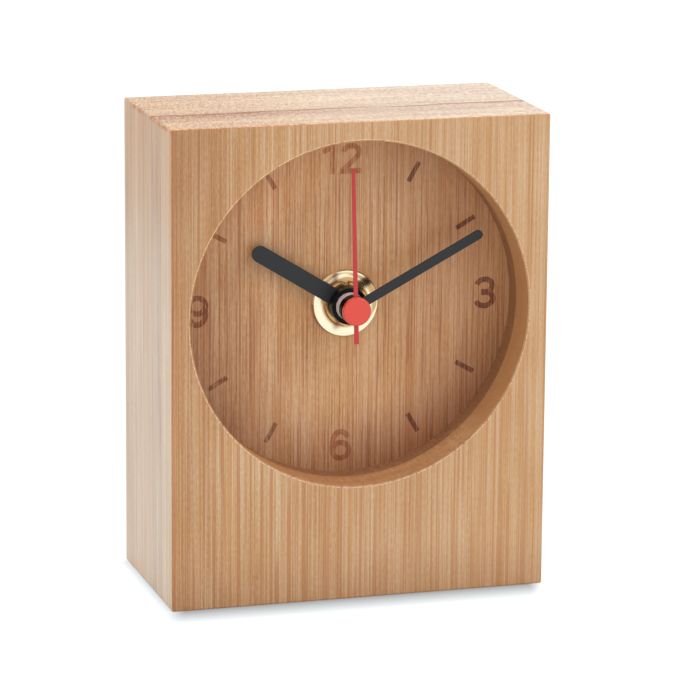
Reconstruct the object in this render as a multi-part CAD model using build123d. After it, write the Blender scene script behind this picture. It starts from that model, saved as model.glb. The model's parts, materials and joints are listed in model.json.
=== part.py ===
from build123d import *
from math import acos, cos, pi, radians, sin, tan
import os

# Table clock: a block of five glued bamboo plies with a round open dial recess in front and a
# square pocket behind, and a quartz movement that a brass nut clamps to the dial wall.
# Millimetres and radians. The origin is under the middle of the block, +Z is up, -Y is the front.
# A depth is counted back from the front face, x and z of the movement from the dial's centre.

# Case
CASE_WIDTH = 80.0
CASE_HEIGHT = 100.0
PLY_NAMES = ("front_ply", "dial_ply", "middle_ply", "rear_ply", "back_ply")
PLY_THICKNESS = 8.0
EDGE_ROUND = 0.4
RECESS_MARGIN = 4.0
RECESS_DEPTH = 12.5
RIM_BEVEL = 0.35
DIAL_WALL = 3.5
POCKET_CLEARANCE = 2.5
POCKET_CORNER = 5.0

# Fits and cuts
RUNNING_FIT = 0.05
SEAT_FIT = 0.02
CUT_OVERRUN = 1.0

# Gear teeth, as shares of the module, and tooth counts
PRESSURE_ANGLE = radians(28)
ADDENDUM_SHARE = 0.75
DEDENDUM_SHARE = 1.0
BACKLASH_SHARE = 0.24
FLANK_SHARES = (0, 0.35, 0.7, 1)
PINION_TEETH = 8
FIFTH_TEETH = 48
SECOND_TEETH = 40
THIRD_TEETH = 60
CENTRE_TEETH = 64
CANNON_TEETH = 12
MINUTE_TEETH = 36
MINUTE_PINION_TEETH = 10
HOUR_TEETH = 40

# Gear train: modules, layers and arbors
ROTOR_MODULE = 0.25
THIRD_MODULE = 0.25
GEAR_FACE = 1.0
LAYER_GAP = 0.4
ARBOR_RADIUS = 0.5
ARBOR_ROOM = 0.64
PIVOT_DEPTH = 0.7
PIVOT_END_GAP = 0.1
PINION_WEB = 0.1
STUD_RADIUS = 0.6
STUD_PROUD = 0.2
THIRD_BEARING = radians(160)
FIFTH_BEARING = 0
ROTOR_BEARING = radians(20)
MINUTE_BEARING = radians(90)
STEM_BEARING = radians(90)

# Pipes, bush, nut and gasket on the dial's axis
MINUTE_PIPE_WALL = 0.95
HOUR_PIPE_WALL = 1.4
BUSH_WALL = 1.0
BUSH_HOLE_ROOM = 0.3
BUSH_FLANGE_RADIUS = 5.2
BUSH_FLANGE = 0.4
NUT_FLANGE_RADIUS = 7.1
NUT_FLANGE = 0.9
NUT_BOSS_RADIUS = 4.75
NUT_BOSS = 0.7
NUT_BEVEL = 0.25
NUT_SLOT_WIDTH = 1.2
GASKET_RADIUS = 10.0
GASKET_THICKNESS = 0.5

# Hands, from the dial outwards, with their clockwise angles from twelve
HAND_SHEET = 0.4
HOUR_LIFT = 0.3
HOUR_BUSH_RADIUS = 3.85
HOUR_BUSH_COLLAR = 1.7
HOUR_SPIGOT_WALL = 0.35
HOUR_WIDTH = 3.5
HOUR_TIP_GAP = 12.3
HOUR_ANGLE = radians(-58.2)
HOUR_PIPE_PROUD = 1.9
MINUTE_LIFT = 0.1
MINUTE_BUSH_RADIUS = 2.95
MINUTE_BUSH_COLLAR = 1.1
MINUTE_SPIGOT_WALL = 0.8
MINUTE_PIPE_INSET = 0.1
MINUTE_WIDTH = 1.95
MINUTE_TIP_GAP = 4.7
MINUTE_ANGLE = radians(62.2)
SECOND_LIFT = 0.15
SECOND_TUBE = 0.55
SECOND_TUBE_WALL = 0.5
SECOND_SHEET = 0.3
SECOND_DISC_RADIUS = 2.2
SECOND_ROOT_WIDTH = 0.93
SECOND_TIP_WIDTH = 0.72
SECOND_TIP_GAP = 6.35
SECOND_TAIL = 7.0
SECOND_ANGLE = radians(-1.6)
SECOND_ARBOR_IN_CAP = 0.5
CAP_RADIUS = 3.0
CAP_THICKNESS = 1.0
CAP_ROUND = 0.4

# Motor
ROTOR_RADIUS = 2.5
ROTOR_LENGTH = 2.0
AIR_GAP = 0.4
STATOR_SHEET = 1.0
POLE_WALL = 2.1
STATOR_BAR_RISE = 3.1
STATOR_BAR = 3.0
STATOR_REACH = 8.5
STATOR_ARM = 3.0
CORE_THICKNESS = 0.9
COIL_RISE = 17.1
COIL_RADIUS = 3.6
COIL_END_GAP = 0.15
BOBBIN_BARREL = 1.9
BOBBIN_FLANGE = 0.6
WINDING_INSET = 0.25

# Movement shells, bridge and posts
SHELL_WALL = 1.2
SHELL_CORNER = 2.0
SHELL_ROOM = 0.4
SHELL_BACK_ROUND = 0.6
PARTING_SHARE = 0.5
BRIDGE_THICKNESS = 1.0
BRIDGE_MARGIN = 0.8
BRIDGE_CORNER = 2.0
POST_RADIUS = 1.4
POST_ROOM = 1.2
POST_FROM_ROTOR = 4.5
PIN_RADIUS = 0.7
PIN_PROUD = 0.4

# Battery, its bay and its contacts
CELL_RADIUS = 7.25
CELL_LENGTH = 50.5
CELL_TERMINAL_RADIUS = 2.75
CELL_TERMINAL = 1.3
CELL_TERMINAL_ROUND = 0.4
JACKET_WALL = 0.2
JACKET_INSET = 0.3
BAY_CLEARANCE = 0.25
BAY_FLOOR_GAP = 0.15
BAY_WALL = 1.0
CONTACT_ROOM = 1.55
CONTACT_SHEET = 0.3
CONTACT_SLOT = 0.4
CONTACT_TOUCH_GAP = 0.1
CONTACT_HEIGHT = 10.0
CONTACT_WIDTH = 9.0
CONTACT_BUTTON_RADIUS = 2.3
RISER_WIDTH = 3.0
TAB_LENGTH = 3.5
TAB_WIDTH = 2.0

# Circuit board
BOARD_THICKNESS = 1.0
BOARD_FROM_BACK = 4.0
BOARD_STRIP = 3.0
BOARD_GAP = 0.3
BOARD_TAIL_DROP = 7.0
BOARD_TAIL_EDGE = -5.0
BOARD_POST_INSET = 3.0
CHIP_SIDE = 6.0
CHIP_HEIGHT = 0.9
CRYSTAL_RADIUS = 1.0
CRYSTAL_LENGTH = 6.0

# Setting knob
STEM_RADIUS = 1.0
KNOB_RADIUS = 6.5
KNOB_THICKNESS = 3.2
KNOB_GAP = 0.4
KNOB_GRIP_DEPTH = 2.4
KNOB_FLUTES = 24
KNOB_FLUTE_RADIUS = 0.5
COLLAR_GAP = 0.6
COLLAR_WALL = 0.8
COLLAR_HEIGHT = 0.8

# Case, worked out
CASE_DEPTH = PLY_THICKNESS * len(PLY_NAMES)
RECESS_RADIUS = CASE_WIDTH / 2 - RECESS_MARGIN
DIAL_HEIGHT = CASE_HEIGHT - RECESS_MARGIN - RECESS_RADIUS
POCKET_FLOOR = RECESS_DEPTH + DIAL_WALL

# Pipes, worked out from the second arbor outwards
MINUTE_BORE = ARBOR_RADIUS + RUNNING_FIT
MINUTE_PIPE_RADIUS = MINUTE_BORE + MINUTE_PIPE_WALL
HOUR_BORE = MINUTE_PIPE_RADIUS + RUNNING_FIT
HOUR_PIPE_RADIUS = HOUR_BORE + HOUR_PIPE_WALL
BUSH_BORE = HOUR_PIPE_RADIUS + RUNNING_FIT
BUSH_RADIUS = BUSH_BORE + BUSH_WALL

# Modules, worked out so that each stage shares its axes with the next
CENTRE_MODULE = THIRD_MODULE * (PINION_TEETH + THIRD_TEETH) / (PINION_TEETH + CENTRE_TEETH)
CENTRE_TIP = CENTRE_MODULE * (CENTRE_TEETH / 2 + ADDENDUM_SHARE)
THIRD_TIP = THIRD_MODULE * (THIRD_TEETH / 2 + ADDENDUM_SHARE)
SECOND_MODULE = 2 * (CENTRE_TIP + ARBOR_ROOM + ARBOR_RADIUS) / (PINION_TEETH + SECOND_TEETH)
MINUTE_MODULE = (MINUTE_PIPE_RADIUS + PINION_WEB) / (CANNON_TEETH / 2 - DEDENDUM_SHARE)
HOUR_MODULE = MINUTE_MODULE * (CANNON_TEETH + MINUTE_TEETH) / (MINUTE_PINION_TEETH + HOUR_TEETH)


def step_off(start, distance, bearing):
    """Place reached from a start by a distance along a bearing counted from +x towards +z."""
    return (start[0] + distance * cos(bearing), start[1] + distance * sin(bearing))


# Arbors, as x and z from the dial's centre
CENTRE = (0, 0)
THIRD_AT = step_off(CENTRE, THIRD_MODULE * (PINION_TEETH + THIRD_TEETH) / 2, THIRD_BEARING)
FIFTH_AT = step_off(CENTRE, SECOND_MODULE * (PINION_TEETH + SECOND_TEETH) / 2, FIFTH_BEARING)
ROTOR_AT = step_off(FIFTH_AT, ROTOR_MODULE * (PINION_TEETH + FIFTH_TEETH) / 2, ROTOR_BEARING)
MINUTE_STEP = MINUTE_MODULE * (CANNON_TEETH + MINUTE_TEETH) / 2
MINUTE_AT = step_off(CENTRE, MINUTE_STEP, MINUTE_BEARING)
STEM_AT = step_off(MINUTE_AT, MINUTE_STEP, STEM_BEARING)
COIL_AT = (ROTOR_AT[0], ROTOR_AT[1] + COIL_RISE)

# Layers of the movement, as depths
MOVEMENT_FRONT = POCKET_FLOOR + GASKET_THICKNESS
PLATE_BACK = MOVEMENT_FRONT + SHELL_WALL
LAYER = GEAR_FACE + LAYER_GAP
HOUR_LAYER = PLATE_BACK + BUSH_FLANGE + LAYER_GAP
MINUTE_LAYER = HOUR_LAYER + LAYER
CENTRE_LAYER = MINUTE_LAYER + LAYER
THIRD_LAYER = CENTRE_LAYER + LAYER
SECOND_LAYER = THIRD_LAYER + LAYER
FIFTH_LAYER = SECOND_LAYER + LAYER
MAGNET_FRONT = FIFTH_LAYER + LAYER
MAGNET_BACK = MAGNET_FRONT + ROTOR_LENGTH
STATOR_FRONT = (MAGNET_FRONT + MAGNET_BACK - STATOR_SHEET) / 2
STATOR_BACK = STATOR_FRONT + STATOR_SHEET
BRIDGE_FRONT = MAGNET_BACK + LAYER_GAP
BRIDGE_BACK = BRIDGE_FRONT + BRIDGE_THICKNESS
COIL_DEPTH = STATOR_FRONT - CORE_THICKNESS / 2
PIVOT_FLOOR = PLATE_BACK - PIVOT_DEPTH
ARBOR_FRONT = PIVOT_FLOOR + PIVOT_END_GAP

# Shells as large as the cell, the train or the coil needs
TRAIN_BACK = max(BRIDGE_BACK + PIN_PROUD, COIL_DEPTH + COIL_RADIUS) + LAYER_GAP + SHELL_WALL
CELL_BACK = PLATE_BACK + 2 * (BAY_FLOOR_GAP + CELL_RADIUS)
MOVEMENT_BACK = max(TRAIN_BACK, CELL_BACK)
COVER_FRONT = MOVEMENT_BACK - SHELL_WALL
INNER_HALF = max(
    CELL_LENGTH / 2 + CONTACT_ROOM,
    ROTOR_AT[0] + STATOR_REACH + STATOR_ARM / 2 + CONTACT_SHEET + SHELL_ROOM,
    COIL_AT[1] + COIL_RADIUS + BOARD_GAP + BOARD_STRIP + SHELL_ROOM,
)
MOVEMENT_HALF = INNER_HALF + SHELL_WALL
SHELL_INNER_CORNER = SHELL_CORNER - SHELL_WALL
POCKET_SIDE = 2 * (MOVEMENT_HALF + POCKET_CLEARANCE)
PARTING = MOVEMENT_FRONT + PARTING_SHARE * (MOVEMENT_BACK - MOVEMENT_FRONT)
CELL_Z = CELL_RADIUS + BAY_CLEARANCE - INNER_HALF
CELL_DEPTH = PLATE_BACK + BAY_FLOOR_GAP + CELL_RADIUS
BAY_TOP = CELL_Z + CELL_RADIUS + BAY_CLEARANCE

# Posts that carry the bridge, clear of the third wheel, the bay wall and the stator
LEFT_POSTS_X = THIRD_AT[0] - THIRD_TIP - POST_ROOM - POST_RADIUS
RIGHT_POSTS_X = ROTOR_AT[0] + POST_FROM_ROTOR
LOW_POSTS_Z = BAY_TOP + BAY_WALL + POST_ROOM + POST_RADIUS
HIGH_POSTS_Z = ROTOR_AT[1] + STATOR_BAR_RISE + STATOR_BAR / 2 + POST_ROOM + POST_RADIUS
BRIDGE_POSTS = [(x, z) for x in (LEFT_POSTS_X, RIGHT_POSTS_X) for z in (LOW_POSTS_Z, HIGH_POSTS_Z)]

# Circuit board: a strip over the coil and a broad tail on the other side
BOARD_BACK = COVER_FRONT - BOARD_FROM_BACK + BOARD_THICKNESS
BOARD_FRONT = BOARD_BACK - BOARD_THICKNESS
BOARD_HALF = INNER_HALF - CONTACT_SHEET - CONTACT_SLOT
BOARD_TOP = COIL_AT[1] + COIL_RADIUS + BOARD_GAP + BOARD_STRIP
BOARD_LOW = BOARD_TOP - BOARD_STRIP - BOARD_TAIL_DROP
BOARD_MIDDLE_Z = (BOARD_TOP + BOARD_LOW) / 2
BOARD_POSTS = [
    (BOARD_POST_INSET - BOARD_HALF, BOARD_MIDDLE_Z),
    (BOARD_TAIL_EDGE - BOARD_POST_INSET, BOARD_MIDDLE_Z),
]

# Hands, as depths from the dial floor outwards
NUT_TOP = RECESS_DEPTH - NUT_FLANGE - NUT_BOSS
HOUR_HAND_BACK = NUT_TOP - HOUR_LIFT
HOUR_BUSH_TOP = HOUR_HAND_BACK - HAND_SHEET - HOUR_BUSH_COLLAR
HOUR_PIPE_TOP = HOUR_BUSH_TOP - HOUR_PIPE_PROUD
MINUTE_HAND_BACK = HOUR_PIPE_TOP - MINUTE_LIFT
MINUTE_BUSH_TOP = MINUTE_HAND_BACK - HAND_SHEET - MINUTE_BUSH_COLLAR
MINUTE_PIPE_TOP = MINUTE_BUSH_TOP + MINUTE_PIPE_INSET
SECOND_TUBE_BACK = MINUTE_BUSH_TOP - SECOND_LIFT
SECOND_HAND_BACK = SECOND_TUBE_BACK - SECOND_TUBE
SECOND_HAND_FRONT = SECOND_HAND_BACK - SECOND_SHEET
CAP_FRONT = SECOND_HAND_FRONT - CAP_THICKNESS
SECOND_ARBOR_TOP = SECOND_HAND_FRONT - SECOND_ARBOR_IN_CAP


def front_plane(depth, at=CENTRE):
    """Plane seen from the front at a depth, with its origin at a place from the dial's centre."""
    origin = (at[0], depth - CASE_DEPTH / 2, DIAL_HEIGHT + at[1])
    return Plane(origin=origin, x_dir=(1, 0, 0), z_dir=(0, -1, 0))


def slab(sketch, near, far, at=CENTRE):
    """Front-view outline carried from one depth back to another."""
    return extrude(front_plane(far, at) * sketch, amount=far - near, dir=(0, -1, 0))


def rod(radius, near, far, at=CENTRE):
    """Round rod along the depth."""
    return slab(Circle(radius), near, far, at)


def tube(radius, bore, near, far, at=CENTRE):
    """Round tube along the depth."""
    return slab(Circle(radius) - Circle(bore), near, far, at)


def block(left, right, low, high, near, far):
    """Box between places from the dial's centre and two depths."""
    middle = ((left + right) / 2, (low + high) / 2)
    return slab(Rectangle(right - left, high - low), near, far, middle)


def cross_rod(radius, left, right, z, depth):
    """Round rod along x."""
    origin = (left, depth - CASE_DEPTH / 2, DIAL_HEIGHT + z)
    plane = Plane(origin=origin, x_dir=(0, 1, 0), z_dir=(1, 0, 0))
    return extrude(plane * Circle(radius), amount=right - left, dir=(1, 0, 0))


def turned(profile):
    """Solid turned about the dial's axis from (radius, depth) points."""
    points = [(radius, depth - CASE_DEPTH / 2, DIAL_HEIGHT) for radius, depth in profile]
    return revolve(make_face(Polyline(*points, close=True)), axis=Axis((0, 0, DIAL_HEIGHT), (0, 1, 0)))


def gear(teeth, module, phase=0):
    """Spur gear seen from the front with one tooth centred on the phase angle.

    Each flank is the involute of the base circle in straight steps, carried radially down to the
    root where the base circle is larger, and both flanks are drawn in by the backlash.
    """
    pitch = module * teeth / 2
    base = pitch * cos(PRESSURE_ANGLE)
    root = pitch - DEDENDUM_SHARE * module
    tip = pitch + ADDENDUM_SHARE * module
    start = max(base, root)
    tooth_half = (pi / 2 - BACKLASH_SHARE) / teeth + tan(PRESSURE_ANGLE) - PRESSURE_ANGLE
    flank = []
    for share in FLANK_SHARES:
        radius = start + share * (tip - start)
        unwound = acos(min(1, base / radius))
        flank.append((radius, tooth_half - tan(unwound) + unwound))
    if root < start:
        flank.insert(0, (root, flank[0][1]))
    points = []
    for tooth in range(teeth):
        middle = phase + 2 * pi * tooth / teeth
        points += [(radius * cos(middle - a), radius * sin(middle - a)) for radius, a in flank]
        points += [(radius * cos(middle + a), radius * sin(middle + a)) for radius, a in reversed(flank)]
    return make_face(Polyline(*points, close=True))


def meshed(teeth, phase, other_teeth, bearing):
    """Phase of the other gear of a pair, whose tooth fills a space of the first along a bearing."""
    lead = (bearing - phase) * teeth / (2 * pi)
    return bearing + pi - (1 / 2 - lead) * 2 * pi / other_teeth


def case_plies():
    """The five plies, cut from one rounded block with the recess, the pocket and the bush hole."""
    whole = Pos(0, 0, CASE_HEIGHT / 2) * Box(CASE_WIDTH, CASE_DEPTH, CASE_HEIGHT)
    whole = fillet(whole.edges(), EDGE_ROUND)
    rim = RECESS_RADIUS + RIM_BEVEL
    bevel = [(0, -CUT_OVERRUN), (rim + CUT_OVERRUN, -CUT_OVERRUN), (RECESS_RADIUS, RIM_BEVEL), (0, RIM_BEVEL)]
    whole -= rod(RECESS_RADIUS, -CUT_OVERRUN, RECESS_DEPTH)
    whole -= turned(bevel)
    pocket = RectangleRounded(POCKET_SIDE, POCKET_SIDE, POCKET_CORNER)
    whole -= slab(pocket, POCKET_FLOOR, CASE_DEPTH + CUT_OVERRUN)
    whole -= rod(BUSH_RADIUS + BUSH_HOLE_ROOM, RECESS_DEPTH - CUT_OVERRUN, POCKET_FLOOR + CUT_OVERRUN)
    plies = {}
    for index, name in enumerate(PLY_NAMES):
        slice_middle = (index + 1 / 2) * PLY_THICKNESS - CASE_DEPTH / 2
        board = Box(CASE_WIDTH + CUT_OVERRUN, PLY_THICKNESS, CASE_HEIGHT + CUT_OVERRUN)
        plies[name] = whole & (Pos(0, slice_middle, CASE_HEIGHT / 2) * board)
    return plies


def dial_gasket():
    return tube(GASKET_RADIUS, BUSH_RADIUS + BUSH_HOLE_ROOM, POCKET_FLOOR, MOVEMENT_FRONT)


def dial_nut():
    """Flanged round nut with bevelled edges and two spanner slots across its boss."""
    bore = BUSH_RADIUS + SEAT_FIT
    shoulder = RECESS_DEPTH - NUT_FLANGE
    nut = turned([
        (bore, RECESS_DEPTH),
        (NUT_FLANGE_RADIUS, RECESS_DEPTH),
        (NUT_FLANGE_RADIUS, shoulder + NUT_BEVEL),
        (NUT_FLANGE_RADIUS - NUT_BEVEL, shoulder),
        (NUT_BOSS_RADIUS, shoulder),
        (NUT_BOSS_RADIUS, NUT_TOP + NUT_BEVEL),
        (NUT_BOSS_RADIUS - NUT_BEVEL, NUT_TOP),
        (bore, NUT_TOP),
    ])
    slots = Rectangle(NUT_SLOT_WIDTH, 2 * NUT_BOSS_RADIUS)
    return nut - slab(slots, NUT_TOP, shoulder)


def threaded_bush():
    """Bush through the front shell, the gasket and the dial wall, with a flange inside."""
    bush = rod(BUSH_RADIUS, NUT_TOP, PLATE_BACK)
    bush += rod(BUSH_FLANGE_RADIUS, PLATE_BACK, PLATE_BACK + BUSH_FLANGE)
    return bush - rod(BUSH_BORE, NUT_TOP - CUT_OVERRUN, HOUR_LAYER)


def shell_outline():
    return RectangleRounded(2 * MOVEMENT_HALF, 2 * MOVEMENT_HALF, SHELL_CORNER)


def shell_inside():
    return RectangleRounded(2 * INNER_HALF, 2 * INNER_HALF, SHELL_INNER_CORNER)


def movement_front_case():
    """Front shell with the posts, the minute wheel's stud and the front pivot holes."""
    shell = slab(shell_outline(), MOVEMENT_FRONT, PARTING)
    shell -= slab(shell_inside(), PLATE_BACK, PARTING + CUT_OVERRUN)
    for at in BRIDGE_POSTS:
        shell += rod(POST_RADIUS, PLATE_BACK, BRIDGE_FRONT, at)
        shell += rod(PIN_RADIUS, BRIDGE_FRONT, BRIDGE_BACK + PIN_PROUD, at)
    for at in BOARD_POSTS:
        shell += rod(POST_RADIUS, PLATE_BACK, BOARD_FRONT, at)
        shell += rod(PIN_RADIUS, BOARD_FRONT, BOARD_BACK + PIN_PROUD, at)
    for side in (-1, 1):
        at = (COIL_AT[0] + side * STATOR_REACH, COIL_AT[1])
        shell += rod(POST_RADIUS, PLATE_BACK, STATOR_FRONT - CORE_THICKNESS, at)
    shell += rod(STUD_RADIUS, PLATE_BACK, MINUTE_LAYER + GEAR_FACE + STUD_PROUD, MINUTE_AT)
    for at in (THIRD_AT, FIFTH_AT, ROTOR_AT):
        shell -= rod(ARBOR_RADIUS + RUNNING_FIT, PIVOT_FLOOR, PLATE_BACK, at)
    shell -= rod(STEM_RADIUS + RUNNING_FIT, PIVOT_FLOOR, PLATE_BACK, STEM_AT)
    return shell - rod(BUSH_RADIUS + SEAT_FIT, MOVEMENT_FRONT - CUT_OVERRUN, PLATE_BACK)


def movement_rear_case():
    """Rear shell, open over the battery bay, with the bay wall and a collar round the knob."""
    shell = slab(shell_outline(), PARTING, MOVEMENT_BACK)
    shell = fillet(shell.faces().sort_by(Axis.Y)[-1].edges(), SHELL_BACK_ROUND)
    shell -= slab(shell_inside(), PARTING - CUT_OVERRUN, COVER_FRONT)
    shell -= block(-INNER_HALF, INNER_HALF, -INNER_HALF, BAY_TOP, COVER_FRONT - CUT_OVERRUN,
                   MOVEMENT_BACK + CUT_OVERRUN)
    shell += block(-BOARD_HALF, BOARD_HALF, BAY_TOP, BAY_TOP + BAY_WALL, PLATE_BACK + PIVOT_END_GAP,
                   COVER_FRONT)
    collar_bore = KNOB_RADIUS + COLLAR_GAP
    shell += tube(collar_bore + COLLAR_WALL, collar_bore, MOVEMENT_BACK, MOVEMENT_BACK + COLLAR_HEIGHT, STEM_AT)
    return shell - rod(STEM_RADIUS + RUNNING_FIT, COVER_FRONT - CUT_OVERRUN, MOVEMENT_BACK + CUT_OVERRUN, STEM_AT)


def gear_bridge():
    """Plate over the four posts, drilled for their pins and for the rear pivots."""
    reach = POST_RADIUS + BRIDGE_MARGIN
    width = RIGHT_POSTS_X - LEFT_POSTS_X + 2 * reach
    height = HIGH_POSTS_Z - LOW_POSTS_Z + 2 * reach
    middle = ((LEFT_POSTS_X + RIGHT_POSTS_X) / 2, (LOW_POSTS_Z + HIGH_POSTS_Z) / 2)
    plate = slab(RectangleRounded(width, height, BRIDGE_CORNER), BRIDGE_FRONT, BRIDGE_BACK, middle)
    for at in BRIDGE_POSTS:
        plate -= rod(PIN_RADIUS + RUNNING_FIT, BRIDGE_FRONT, BRIDGE_BACK, at)
    for at in (CENTRE, THIRD_AT, FIFTH_AT, ROTOR_AT):
        plate -= rod(ARBOR_RADIUS + RUNNING_FIT, BRIDGE_FRONT, BRIDGE_BACK, at)
    return plate


def circuit_board():
    board = block(-BOARD_HALF, BOARD_HALF, BOARD_TOP - BOARD_STRIP, BOARD_TOP, BOARD_FRONT, BOARD_BACK)
    board += block(-BOARD_HALF, BOARD_TAIL_EDGE, BOARD_LOW, BOARD_TOP, BOARD_FRONT, BOARD_BACK)
    for at in BOARD_POSTS:
        board -= rod(PIN_RADIUS + RUNNING_FIT, BOARD_FRONT, BOARD_BACK, at)
    return board


def control_chip():
    """Chip between the board's two posts, near its lower edge."""
    middle = ((BOARD_POSTS[0][0] + BOARD_POSTS[1][0]) / 2, BOARD_LOW + BOARD_GAP + CHIP_SIDE / 2)
    return slab(Rectangle(CHIP_SIDE, CHIP_SIDE), BOARD_BACK, BOARD_BACK + CHIP_HEIGHT, middle)


def quartz_crystal():
    """Crystal can lying on the board's strip, in line with the chip."""
    middle = (BOARD_POSTS[0][0] + BOARD_POSTS[1][0]) / 2
    z = BOARD_TOP - BOARD_STRIP / 2
    return cross_rod(CRYSTAL_RADIUS, middle - CRYSTAL_LENGTH / 2, middle + CRYSTAL_LENGTH / 2, z,
                     BOARD_BACK + CRYSTAL_RADIUS)


def stator():
    """Flat stator: a pole ring round the rotor, a bar across it and two arms up to the core."""
    bar = Pos(0, STATOR_BAR_RISE) * Rectangle(2 * STATOR_REACH + STATOR_ARM, STATOR_BAR)
    arm_low = STATOR_BAR_RISE - STATOR_BAR / 2
    arm_high = COIL_RISE + STATOR_ARM / 2
    arm = Rectangle(STATOR_ARM, arm_high - arm_low)
    sketch = Circle(ROTOR_RADIUS + AIR_GAP + POLE_WALL) + bar
    for side in (-1, 1):
        sketch += Pos(side * STATOR_REACH, (arm_low + arm_high) / 2) * arm
    return slab(sketch - Circle(ROTOR_RADIUS + AIR_GAP), STATOR_FRONT, STATOR_BACK, ROTOR_AT)


def coil_core():
    bar = Rectangle(2 * STATOR_REACH + STATOR_ARM, STATOR_ARM)
    return slab(bar, STATOR_FRONT - CORE_THICKNESS, STATOR_FRONT, COIL_AT)


def coil_ends():
    """Left and right end of the bobbin between the stator's arms."""
    half = STATOR_REACH - STATOR_ARM / 2 - COIL_END_GAP
    return COIL_AT[0] - half, COIL_AT[0] + half


def coil_bobbin():
    left, right = coil_ends()
    z = COIL_AT[1]
    spool = cross_rod(BOBBIN_BARREL, left, right, z, COIL_DEPTH)
    spool += cross_rod(COIL_RADIUS, left, left + BOBBIN_FLANGE, z, COIL_DEPTH)
    spool += cross_rod(COIL_RADIUS, right - BOBBIN_FLANGE, right, z, COIL_DEPTH)
    half_hole = STATOR_ARM / 2 + SEAT_FIT
    core_half = CORE_THICKNESS / 2 + SEAT_FIT
    return spool - block(left - CUT_OVERRUN, right + CUT_OVERRUN, z - half_hole, z + half_hole,
                         COIL_DEPTH - core_half, COIL_DEPTH + core_half)


def coil_winding():
    left, right = coil_ends()
    start = left + BOBBIN_FLANGE + SEAT_FIT
    end = right - BOBBIN_FLANGE - SEAT_FIT
    wound = cross_rod(COIL_RADIUS - WINDING_INSET, start, end, COIL_AT[1], COIL_DEPTH)
    bore = cross_rod(BOBBIN_BARREL + SEAT_FIT, start - CUT_OVERRUN, end + CUT_OVERRUN, COIL_AT[1], COIL_DEPTH)
    return wound - bore


def battery_contact(side):
    """Contact on one end wall: a leaf behind the cell's end, a riser and a tab on the board."""
    wall = side * INNER_HALF
    face = side * (INNER_HALF - CONTACT_SHEET)
    left, right = min(wall, face), max(wall, face)
    riser_back = BOARD_BACK + CONTACT_SHEET
    leaf = block(left, right, CELL_Z - CONTACT_HEIGHT / 2, CELL_Z + CONTACT_HEIGHT / 2,
                 CELL_DEPTH - CONTACT_WIDTH / 2, CELL_DEPTH + CONTACT_WIDTH / 2)
    top = min(BOARD_TOP, INNER_HALF - SHELL_INNER_CORNER - SEAT_FIT)
    leaf += block(left, right, CELL_Z, top, riser_back - RISER_WIDTH, riser_back)
    tab_end = side * (INNER_HALF - TAB_LENGTH)
    leaf += block(min(wall, tab_end), max(wall, tab_end), top - TAB_WIDTH, top, BOARD_BACK, riser_back)
    button_end = side * (CELL_LENGTH / 2 + CONTACT_TOUCH_GAP)
    button = cross_rod(CONTACT_BUTTON_RADIUS, min(face, button_end), max(face, button_end), CELL_Z, CELL_DEPTH)
    return leaf + button


def battery_can():
    """Steel can with its raised terminal towards +x."""
    half = CELL_LENGTH / 2
    shoulder = half - CELL_TERMINAL
    can = cross_rod(CELL_RADIUS - JACKET_WALL - SEAT_FIT, -half, shoulder, CELL_Z, CELL_DEPTH)
    terminal = cross_rod(CELL_TERMINAL_RADIUS, shoulder, half, CELL_Z, CELL_DEPTH)
    return can + fillet(terminal.edges().group_by(Axis.X)[-1], CELL_TERMINAL_ROUND)


def battery_jacket():
    """Printed sleeve round the can, a little short of both ends."""
    left = JACKET_INSET - CELL_LENGTH / 2
    right = CELL_LENGTH / 2 - CELL_TERMINAL - JACKET_INSET
    sleeve = cross_rod(CELL_RADIUS, left, right, CELL_Z, CELL_DEPTH)
    return sleeve - cross_rod(CELL_RADIUS - JACKET_WALL, left - CUT_OVERRUN, right + CUT_OVERRUN, CELL_Z, CELL_DEPTH)


def hour_wheel():
    """Hour wheel with the pipe that carries the hour hand."""
    phase = meshed(MINUTE_PINION_TEETH, MINUTE_BEARING, HOUR_TEETH, MINUTE_BEARING - pi)
    wheel = slab(gear(HOUR_TEETH, HOUR_MODULE, phase), HOUR_LAYER, HOUR_LAYER + GEAR_FACE)
    wheel += rod(HOUR_PIPE_RADIUS, HOUR_PIPE_TOP, HOUR_LAYER)
    return wheel - rod(HOUR_BORE, HOUR_PIPE_TOP - CUT_OVERRUN, MINUTE_LAYER)


def minute_pipe():
    """Cannon pinion with the pipe that carries the minute hand and the centre wheel."""
    back = CENTRE_LAYER + GEAR_FACE + LAYER_GAP / 2
    pipe = rod(MINUTE_PIPE_RADIUS, MINUTE_PIPE_TOP, back)
    cannon = gear(CANNON_TEETH, MINUTE_MODULE, MINUTE_BEARING)
    pipe += slab(cannon, MINUTE_LAYER, MINUTE_LAYER + GEAR_FACE)
    return pipe - rod(MINUTE_BORE, MINUTE_PIPE_TOP - CUT_OVERRUN, back + CUT_OVERRUN)


def minute_wheel_phase():
    return meshed(CANNON_TEETH, MINUTE_BEARING, MINUTE_TEETH, MINUTE_BEARING)


def minute_wheel():
    """Wheel and pinion of the motion work, which turns on a stud."""
    wheel = slab(gear(MINUTE_TEETH, MINUTE_MODULE, minute_wheel_phase()), MINUTE_LAYER,
                 MINUTE_LAYER + GEAR_FACE, MINUTE_AT)
    pinion = gear(MINUTE_PINION_TEETH, HOUR_MODULE, MINUTE_BEARING)
    wheel += slab(pinion, HOUR_LAYER, MINUTE_LAYER, MINUTE_AT)
    return wheel - rod(STUD_RADIUS + RUNNING_FIT, PLATE_BACK, CENTRE_LAYER, MINUTE_AT)


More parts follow.
